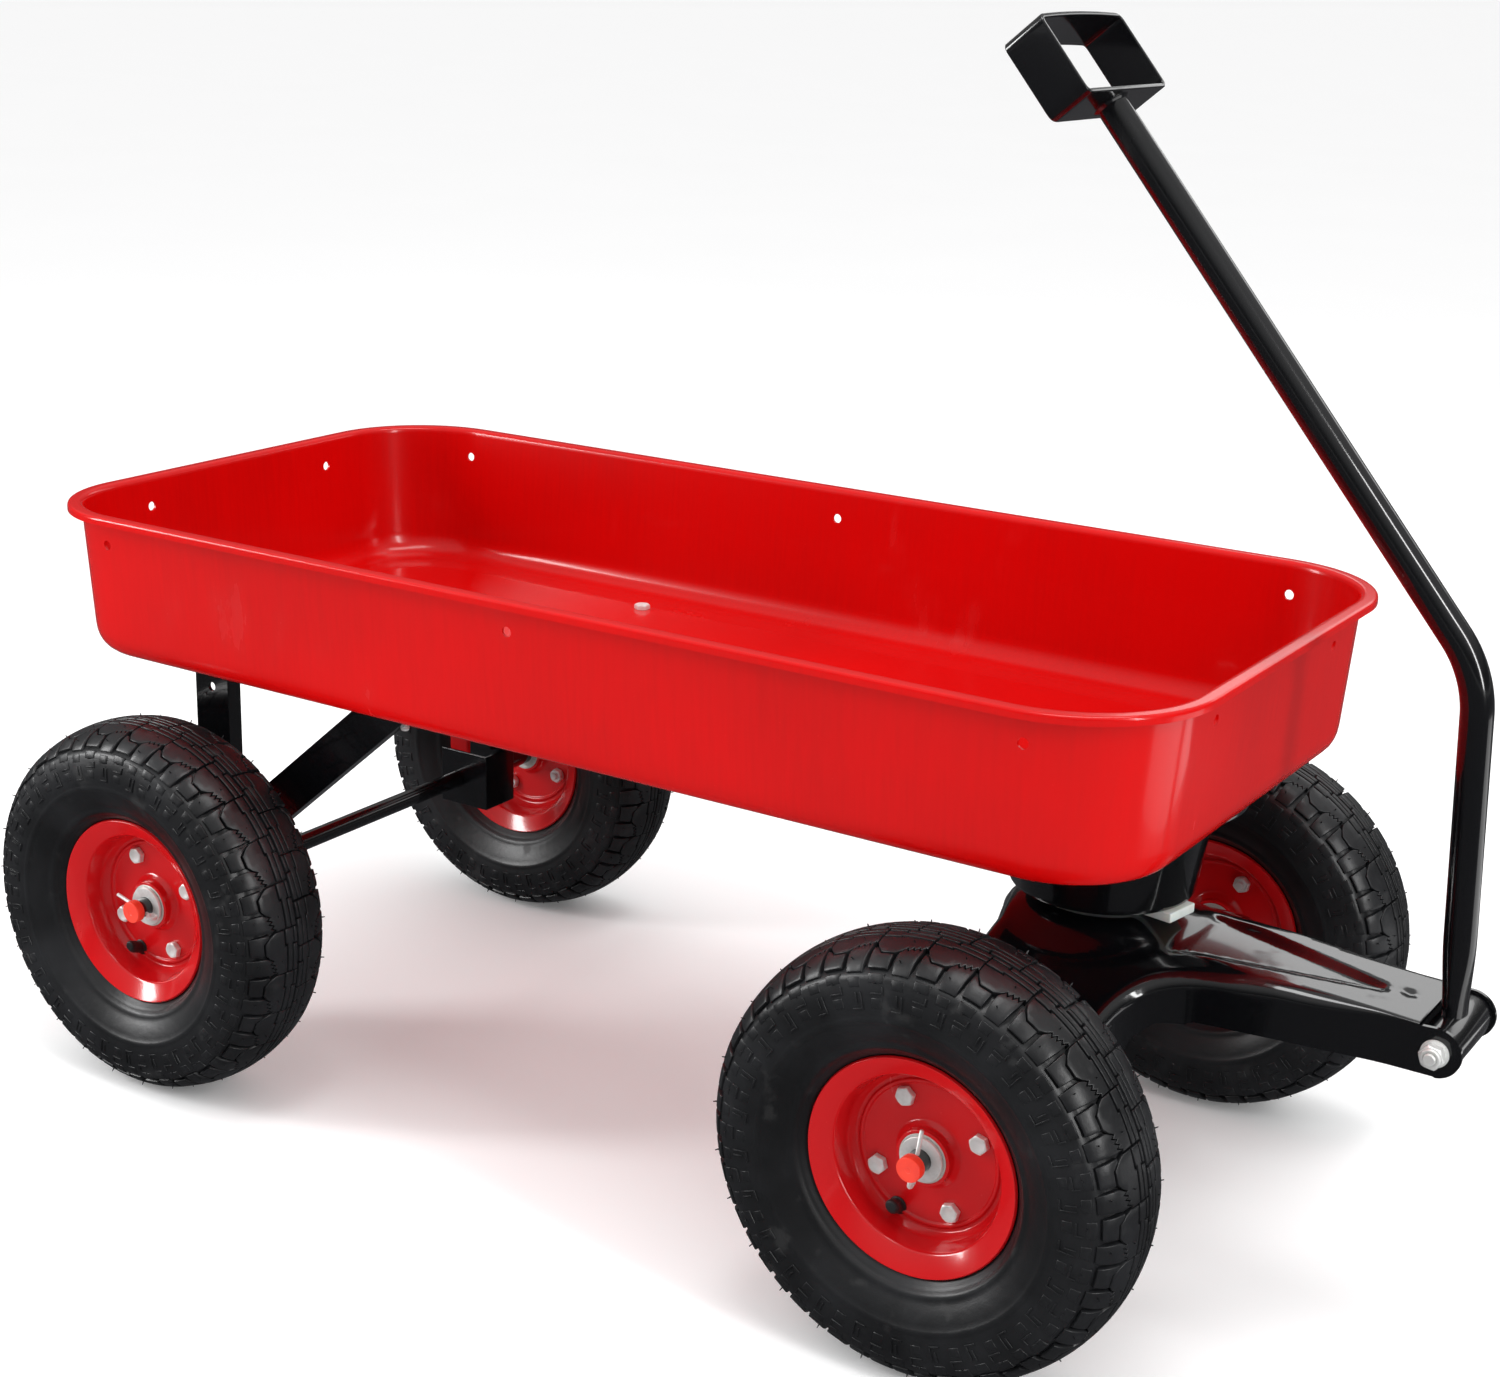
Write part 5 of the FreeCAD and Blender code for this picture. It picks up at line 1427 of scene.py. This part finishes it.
    def _within(self, x: float, y: float) -> bool:
        """Whether a place in plan is inside the outline."""
        one = self.edge
        two = np.roll(self.edge, -1, axis=0)
        spans = (one[:, 1] > y) != (two[:, 1] > y)
        rise = np.where(two[:, 1] == one[:, 1], 1e-9, two[:, 1] - one[:, 1])
        cross = (two[:, 0] - one[:, 0]) * (y - one[:, 1]) / rise + one[:, 0]
        return bool((spans & (x < cross)).sum() % 2)

    def _bottom(self, x: float, y: float) -> float:
        """Lower edge of the skirt."""
        low, skirt = self.foot_z, self.skirt_z
        reach = abs(y)
        feet = np.interp(reach, (60.0, 72.0, 98.0, 108.0), (skirt, skirt - 9.0, low + 7.0, low))
        ahead = x - self.front_x - self.arm_half
        tongue = np.interp(ahead, (2.0, 8.0, 22.0, 34.0, 167.0),
                           (low, low + 26.0, skirt - 8.0, skirt + 2.0, self.pivot_z - self.ear))
        if x > self.pivot_x:
            return self.pivot_z - math.sqrt(max(self.ear ** 2 - (x - self.pivot_x) ** 2, 0.0))
        return float(max(feet, tongue))

    def _skirt(self, edge: Sequence[Point]) -> Shape:
        """Side walls hanging from the folded edge, with the ears at both ends."""
        ear = [(self.throat + d, self.tip) for d in np.linspace(2.0, self.pivot_x - self.throat, 5)]
        ear += [(self.pivot_x + self.ear * math.sin(math.radians(a)), self.tip) for a in range(6, 91, 6)]
        path = ear[::-1] + list(edge) + [(x, -y) for x, y in ear]
        rows = 8
        rings = []
        for x, y in path:
            if x <= self.throat + 1e-6:
                top = self._top(x, y) - self._fold_at(x)
            elif x <= self.pivot_x:
                top = self._top(x, 0.0) - 1.0 + (x - self.throat) / (self.pivot_x - self.throat)
            else:
                top = self.pivot_z + math.sqrt(max(self.ear ** 2 - (x - self.pivot_x) ** 2, 0.0))
            low = min(self._bottom(x, y), top - 0.05)
            rings.append([Vector((x, y, top + (low - top) * k / rows)) for k in range(rows + 1)])
        return lofted(rings, closed_rings=False, capped=False)


@dataclass
class Bolster:
    """Pressed drum under the tray, the nylon bearing pad below it, and their fasteners."""

    bench: Bench
    bolt: HexFastener = HexFastener(13.0, 4.0, 8.0)
    nut: HexFastener = HexFastener(13.0, 6.5, 8.0)

    def build(self) -> None:
        """Make the drum, the pad and the fasteners."""
        low, high = self.bench.box("front_bolster")
        middle = (low + high) / 2
        tall = high.z - low.z
        outline = [(8.1, 0), (55, 0), (64, tall - 2.5), (82, tall - 2.5), (82, tall), (61.5, tall),
                   (52.5, 2.5), (8.1, 2.5)]
        section = eased(outline, [0.2, 4.5, 6, 0.8, 0.5, 3, 3, 0.2], 7)
        drum = lathe(section, 120).moved(along_z((middle.x, middle.y, low.z)))
        for p in drum.points:
            angle = math.atan2(p.y - middle.y, p.x - middle.x)
            away = math.hypot(p.x - middle.x, p.y - middle.y)
            if 50.0 < away < 66.0 and p.z > low.z + 6:
                lobe = max(0.0, math.cos(2 * angle - math.pi / 2) ** 2 - 0.82) / 0.18
                share = 1 - lobe * 0.055 * min((p.z - low.z - 6) / 25, 1.0)
                p.x = middle.x + (p.x - middle.x) * share
                p.y = middle.y + (p.y - middle.y) * share
        self.bench.skin("front_bolster", drum, Finish.BLACK, 50.0)
        self.bench.carried("steering_bearing_pad", Finish.NYLON, 0.9)
        self.bench.carried("kingpin", Finish.ZINC)
        self.bench.carried("kingpin_nut", Finish.ZINC)
        upright_fasteners(self.bench, "bolster_bolts", "bolster_nuts", self.bolt, self.nut)


def upright_fasteners(bench: Bench, bolts: str, nuts: str, bolt: HexFastener, nut: HexFastener) -> None:
    """Bolts whose heads are on top, with threaded ends and nuts below.

    Args:
        bench: the bench that the pieces are made on.
        bolts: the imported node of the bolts.
        nuts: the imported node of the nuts.
        bolt: the bolt's sizes.
        nut: the nut's sizes.
    """
    heads, collars = Shape(), Shape()
    for low, high in bench.solids(bolts):
        middle = (low + high) / 2
        top = high.z - bolt.height
        heads.add(bolt.head().moved(along_z((middle.x, middle.y, top))))
        shank = bolt.thread(0.0, top - low.z, 1.25)
        heads.add(shank.moved(along_z((middle.x, middle.y, top), -1.0)))
    for low, high in bench.solids(nuts):
        middle = (low + high) / 2
        collars.add(nut.nut().moved(along_z((middle.x, middle.y, high.z), -1.0)))
    bench.skin(bolts, heads, Finish.ZINC, 30.0)
    bench.skin(nuts, collars, Finish.ZINC, 30.0)


@dataclass
class RearFrame:
    """Legs, braces and axle shoes under the rear of the tray."""

    bench: Bench
    bolt: HexFastener = HexFastener(10.0, 3.5, 6.0)
    nut: HexFastener = HexFastener(10.0, 5.0, 6.0)

    def build(self) -> None:
        """Make the folded steel pieces and their bolts."""
        for side in ("right", "left"):
            for what in ("rear_leg", "rear_brace", "axle_shoe"):
                self.bench.carried(f"{what}_{side}", Finish.BLACK, 0.6)
        upright_fasteners(self.bench, "brace_bolts", "brace_nuts", self.bolt, self.nut)


@dataclass
class Handle:
    """Bent tube handle with a cross sleeve at its foot and a loop grip of flat strip."""

    bench: Bench
    pivot: Point = (459.0, 181.5)
    lower: float = 206.5
    upper: float = 368.0
    lower_lean: float = 2.7
    upper_lean: float = 39.8
    bend: float = 70.0
    tube: float = 18.0
    tube_sides: int = 40
    press_long: float = 46.0
    press_out: float = 3.2
    press_in: float = 2.4
    grip_half: float = 52.0
    grip_deep: float = 51.0
    grip_strip: float = 27.0
    grip_thick: float = 3.0
    grip_corner: float = 6.0
    arch: float = 1.6
    bolt: HexFastener = HexFastener(13.0, 5.3, 8.0)
    nut: HexFastener = HexFastener(13.0, 6.5, 8.0)

    def build(self) -> None:
        """Make the handle's pieces."""
        low_way, up_way = (Vector((-math.sin(math.radians(lean)), 0, math.cos(math.radians(lean))))
                           for lean in (self.lower_lean, self.upper_lean))
        foot = Vector((self.pivot[0], 0, self.pivot[1]))
        corner = foot + low_way * self.lower
        self.top = corner + up_way * self.upper
        self.up_way = up_way
        self._tube(foot + low_way * 10, low_way, corner, up_way)
        self._grip()
        self._sleeve()
        self._pivot_fasteners()

    def _tube(self, start: Vector, low_way: Vector, corner: Vector, up_way: Vector) -> None:
        """Bent tube, pressed flatter where it meets the sleeve."""
        back = self.bend * math.tan(low_way.angle(up_way) / 2)
        one, two = corner - low_way * back, corner + up_way * back
        spots = [start + (one - start) * (k / 30) for k in range(30)]
        turn = low_way.angle(up_way)
        side = Vector((-low_way.z, 0, low_way.x))
        hub = one + side * self.bend
        for k in range(25):
            angle = turn * k / 24
            spots.append(hub + (one - hub) * math.cos(angle) + low_way * (self.bend * math.sin(angle)))
        spots += [two + (self.top - two) * (k / 14) for k in range(1, 15)]
        rings = []
        for i, spot in enumerate(spots):
            ahead = (spots[min(i + 1, len(spots) - 1)] - spots[max(i - 1, 0)]).normalized()
            across = Vector((ahead.z, 0, -ahead.x))
            press = smooth(1 - (spot - start).length / self.press_long)
            wide = self.tube / 2 + self.press_out * press
            deep = self.tube / 2 - self.press_in * press
            angles = [2 * math.pi * k / self.tube_sides for k in range(self.tube_sides)]
            rings.append([spot + across * (deep * math.cos(a)) + Vector((0, wide * math.sin(a), 0))
                          for a in angles])
        shape = lofted(rings)
        bead = lathe(eased([(8.6, -2.2), (10.8, -0.4), (11.6, 0.4), (8.6, 0.6)], 0.8, 4), 48)
        place = Matrix.Translation(self.top) @ up_way.to_track_quat("Y", "X").to_matrix().to_4x4()
        shape.add(bead.moved(place))
        self.bench.skin("handle_tube", shape, Finish.BLACK, 45.0)

    def _grip(self) -> None:
        """Loop of flat strip, its far side slightly arched, with rounded edges."""
        half, deep, corner = self.grip_half, self.grip_deep, self.grip_corner
        loop = divided(eased([(-half, 0), (half, 0), (half, deep), (-half, deep)], corner, 8), 6.0)
        inner = inset(loop, self.grip_thick)
        across = Vector((self.up_way.z, 0, -self.up_way.x))
        rings = []
        edge = 0.7
        for (y, z), (iy, iz) in zip(loop, inner):
            rise = self.arch * (1 - (y / half) ** 2) if z > deep - 4 else 0.0
            outer = Vector((0, y, 0)) + self.up_way * (z + rise)
            inside = Vector((0, iy, 0)) + self.up_way * (iz + rise)
            wide = self.grip_strip / 2
            skin = (inside - outer).normalized()
            outer, inside = self.top + outer, self.top + inside
            rings.append([
                outer + across * (-wide + edge), outer + across * (wide - edge),
                outer + across * wide + skin * edge, inside + across * wide - skin * edge,
                inside + across * (wide - edge), inside + across * (-wide + edge),
                inside - across * wide - skin * edge, outer - across * wide + skin * edge,
            ])
        rings.append(rings[0])
        shape = lofted(rings, capped=False)
        self.bench.skin("handle_grip", shape, Finish.BLACK, 50.0, even=True)

    def _sleeve(self) -> None:
        """Cross tube that turns on the pivot bolt."""
        low, high = self.bench.box("handle_sleeve")
        radius, half = (high.x - low.x) / 2, (high.y - low.y) / 2
        section = eased([(4.1, -half), (radius, -half), (radius, half), (4.1, half)], 1.2, 4)
        shape = lathe(section, 64).moved(along_y((low + high) / 2))
        self.bench.skin("handle_sleeve", shape, Finish.BLACK, 45.0)

    def _pivot_fasteners(self) -> None:
        """Pivot bolt from the left, with its washer and lock nut on the right."""
        low, high = self.bench.box("handle_pivot_bolt")
        middle = (low + high) / 2
        base = high.y - self.bolt.height
        shape = self.bolt.head().moved(along_y((middle.x, base, middle.z)))
        shank = self.bolt.thread(0.0, base - low.y - 1.0, 1.25)
        shape.add(shank.moved(along_y((middle.x, base, middle.z), -1.0)))
        self.bench.skin("handle_pivot_bolt", shape, Finish.ZINC, 30.0)
        self.bench.carried("handle_pivot_washer", Finish.ZINC, 0.3)
        low, high = self.bench.box("handle_pivot_nut")
        nut = self.nut.nut()
        collar = lathe(eased([(3.9, 6.3), (6.0, 6.3), (5.2, 8.0), (3.9, 8.0)], 0.5, 3), 40)
        nut.add(collar)
        placed = nut.moved(along_y((middle.x, high.y, middle.z), -1.0, 0.35))
        self.bench.skin("handle_pivot_nut", placed, Finish.ZINC, 30.0)


# ---------------------------------------------------------------------------
# Studio


@dataclass(frozen=True)
class Softbox:
    """One large soft light."""

    name: str
    place: Triple
    aim: Triple
    size: Point
    power: float

    def hang(self) -> None:
        """Hang the light and point it."""
        lamp = bpy.data.lights.new(self.name, "AREA")
        lamp.shape = "RECTANGLE"
        lamp.size, lamp.size_y = self.size
        lamp.energy = self.power
        made = bpy.data.objects.new(self.name, lamp)
        made.location = self.place
        way = Vector(self.aim) - Vector(self.place)
        made.rotation_mode = "QUATERNION"
        made.rotation_quaternion = way.to_track_quat("-Z", "Y")
        bpy.context.scene.collection.objects.link(made)


@dataclass
class Studio:
    """Pale floor, soft lights and the camera."""

    eye: Triple = (0.7707, -1.2348, 0.7420)
    azimuth: float = 33.46
    elevation: float = 17.05
    roll: float = 1.385
    lens: float = 56.75
    shift: Point = (0.0306, -0.0031)
    air: float = 1.25
    mirrored: float = 0.4
    ground: Colour = (0.16, 0.16, 0.17)
    sky: tuple[Point, ...] = (
        (0.001, 0.8), (0.03, 0.8), (0.05, 0.1), (0.2, 0.12), (0.45, 0.6), (0.7, 1.0),
    )
    boxes: tuple[Softbox, ...] = (
        Softbox("overhead_box", (0.35, -0.1, 2.3), (0.1, 0.0, 0.3), (1.6, 0.5), 18.0),
        Softbox("front_strip", (2.4, -0.7, 1.3), (0.25, 0.0, 0.35), (0.28, 1.7), 26.0),
        Softbox("left_strip", (-1.9, -1.35, 1.05), (0.1, 0.0, 0.25), (0.4, 1.3), 32.0),
        Softbox("back_box", (0.4, 2.6, 1.5), (0.1, 0.0, 0.35), (2.6, 0.6), 8.0),
        Softbox("floor_card", (1.25, 0.5, 0.03), (1.2, 0.48, 1.0), (0.8, 0.9), 2.8),
    )
    half_floor: float = 150.0

    def build(self) -> None:
        """Set up the studio."""
        self._floor()
        self._lights()
        self._camera()

    def _floor(self) -> None:
        """Wide pale floor with a barely uneven surface, darker where it is mirrored."""
        g = Graph("studio_floor")
        cloud = g.noise(2.0, 4.0)
        pale = g.mix(cloud * 0.5, (0.95, 0.95, 0.952), (0.92, 0.92, 0.922))
        mirrored = Wire(g, g.node("ShaderNodeLightPath").outputs["Is Glossy Ray"])
        material = g.finish({
            "Base Color": g.mix(mirrored, pale, (0.2, 0.2, 0.21)),
            "Roughness": 0.5 + cloud * 0.1,
            "Specular IOR Level": 0.2,
            "Emission Color": (1.0, 1.0, 1.0, 1.0),
            "Emission Strength": 0.1,
        })
        half = self.half_floor
        mesh = bpy.data.meshes.new("studio_floor")
        mesh.from_pydata([(-half, -half, 0), (half, -half, 0), (half, half, 0), (-half, half, 0)], [],
                         [(0, 1, 2, 3)])
        mesh.materials.append(material)
        floor = bpy.data.objects.new("studio_floor", mesh)
        bpy.context.scene.collection.objects.link(floor)
        floor.visible_glossy = False

    def _lights(self) -> None:
        """Hang soft light all round, white to the camera and dimmed in mirrors, and the softboxes."""
        world = bpy.data.worlds.new("studio_air")
        world.use_nodes = True
        tree = world.node_tree
        place = tree.nodes.new("ShaderNodeTexCoord")
        parts = tree.nodes.new("ShaderNodeSeparateXYZ")
        tree.links.new(place.outputs["Generated"], parts.inputs[0])
        blend = tree.nodes.new("ShaderNodeValToRGB")
        tree.links.new(parts.outputs["Z"], blend.inputs[0])
        stops = blend.color_ramp.elements
        stops[0].position, stops[0].color = 0.0, (*self.ground, 1.0)
        stops[1].position, stops[1].color = 1.0, (1.0, 1.0, 1.0, 1.0)
        for spot, level in self.sky:
            stops.new(spot).color = (level, level, level, 1.0)
        path = tree.nodes.new("ShaderNodeLightPath")
        dimmed = tree.nodes.new("ShaderNodeMix")
        dimmed.data_type = "RGBA"
        dimmed.blend_type = "MULTIPLY"
        dimmed.inputs[7].default_value = (self.mirrored, self.mirrored, self.mirrored, 1.0)
        tree.links.new(path.outputs["Is Glossy Ray"], dimmed.inputs[0])
        tree.links.new(blend.outputs[0], dimmed.inputs[6])
        seen = tree.nodes.new("ShaderNodeMix")
        seen.data_type = "RGBA"
        seen.inputs[7].default_value = (1.0, 1.0, 1.0, 1.0)
        tree.links.new(path.outputs["Is Camera Ray"], seen.inputs[0])
        tree.links.new(dimmed.outputs[2], seen.inputs[6])
        sky = tree.nodes["Background"]
        tree.links.new(seen.outputs[2], sky.inputs["Color"])
        sky.inputs["Strength"].default_value = self.air
        bpy.context.scene.world = world
        for box in self.boxes:
            box.hang()
        view = bpy.context.scene.view_settings
        view.view_transform = "Standard"
        view.look = "None"

    def _camera(self) -> None:
        """Camera at the wagon's front right, slightly above it."""
        a, e, r = (math.radians(v) for v in (self.azimuth, self.elevation, self.roll))
        right = Vector((math.cos(a), math.sin(a), 0))
        back = Vector((math.sin(a) * math.cos(e), -math.cos(a) * math.cos(e), math.sin(e)))
        up = back.cross(right)
        leaned = right * math.cos(r) + up * math.sin(r)
        tall = up * math.cos(r) - right * math.sin(r)
        lens = bpy.data.cameras.new("studio_camera")
        lens.lens = self.lens
        lens.sensor_width = 36.0
        lens.shift_x, lens.shift_y = self.shift
        lens.dof.use_dof = False
        camera = bpy.data.objects.new("studio_camera", lens)
        camera.matrix_world = Matrix((
            (leaned.x, tall.x, back.x, self.eye[0]),
            (leaned.y, tall.y, back.y, self.eye[1]),
            (leaned.z, tall.z, back.z, self.eye[2]),
            (0, 0, 0, 1),
        ))
        bpy.context.scene.collection.objects.link(camera)
        bpy.context.scene.camera = camera


def main() -> None:
    """Load the frame, set up the studio, and build every sub-assembly on it."""
    logging.basicConfig(level=logging.INFO, format="%(message)s")
    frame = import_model()
    bodies = frame["record"]["behaviour"]["bodies"]
    bench = Bench(frame["nodes"], {node: body for body, nodes in bodies.items() for node in nodes})
    Studio().build()
    Tray(bench).build()
    RearFrame(bench).build()
    Bolster(bench).build()
    SteeringYoke(bench).build()
    Handle(bench).build()
    for end in ("rear", "front"):
        AxleEnds(bench, end).build()
    tread = Tread(TyreSurface())
    pitch, carcass, ring = tread.pitch_mesh(), tread.carcass(), RingTree()
    for name in ("rear_right", "rear_left", "front_right", "front_left"):
        Wheel(bench, name, tread, ring, pitch, carcass).build()


if __name__ == "__main__":
    main()
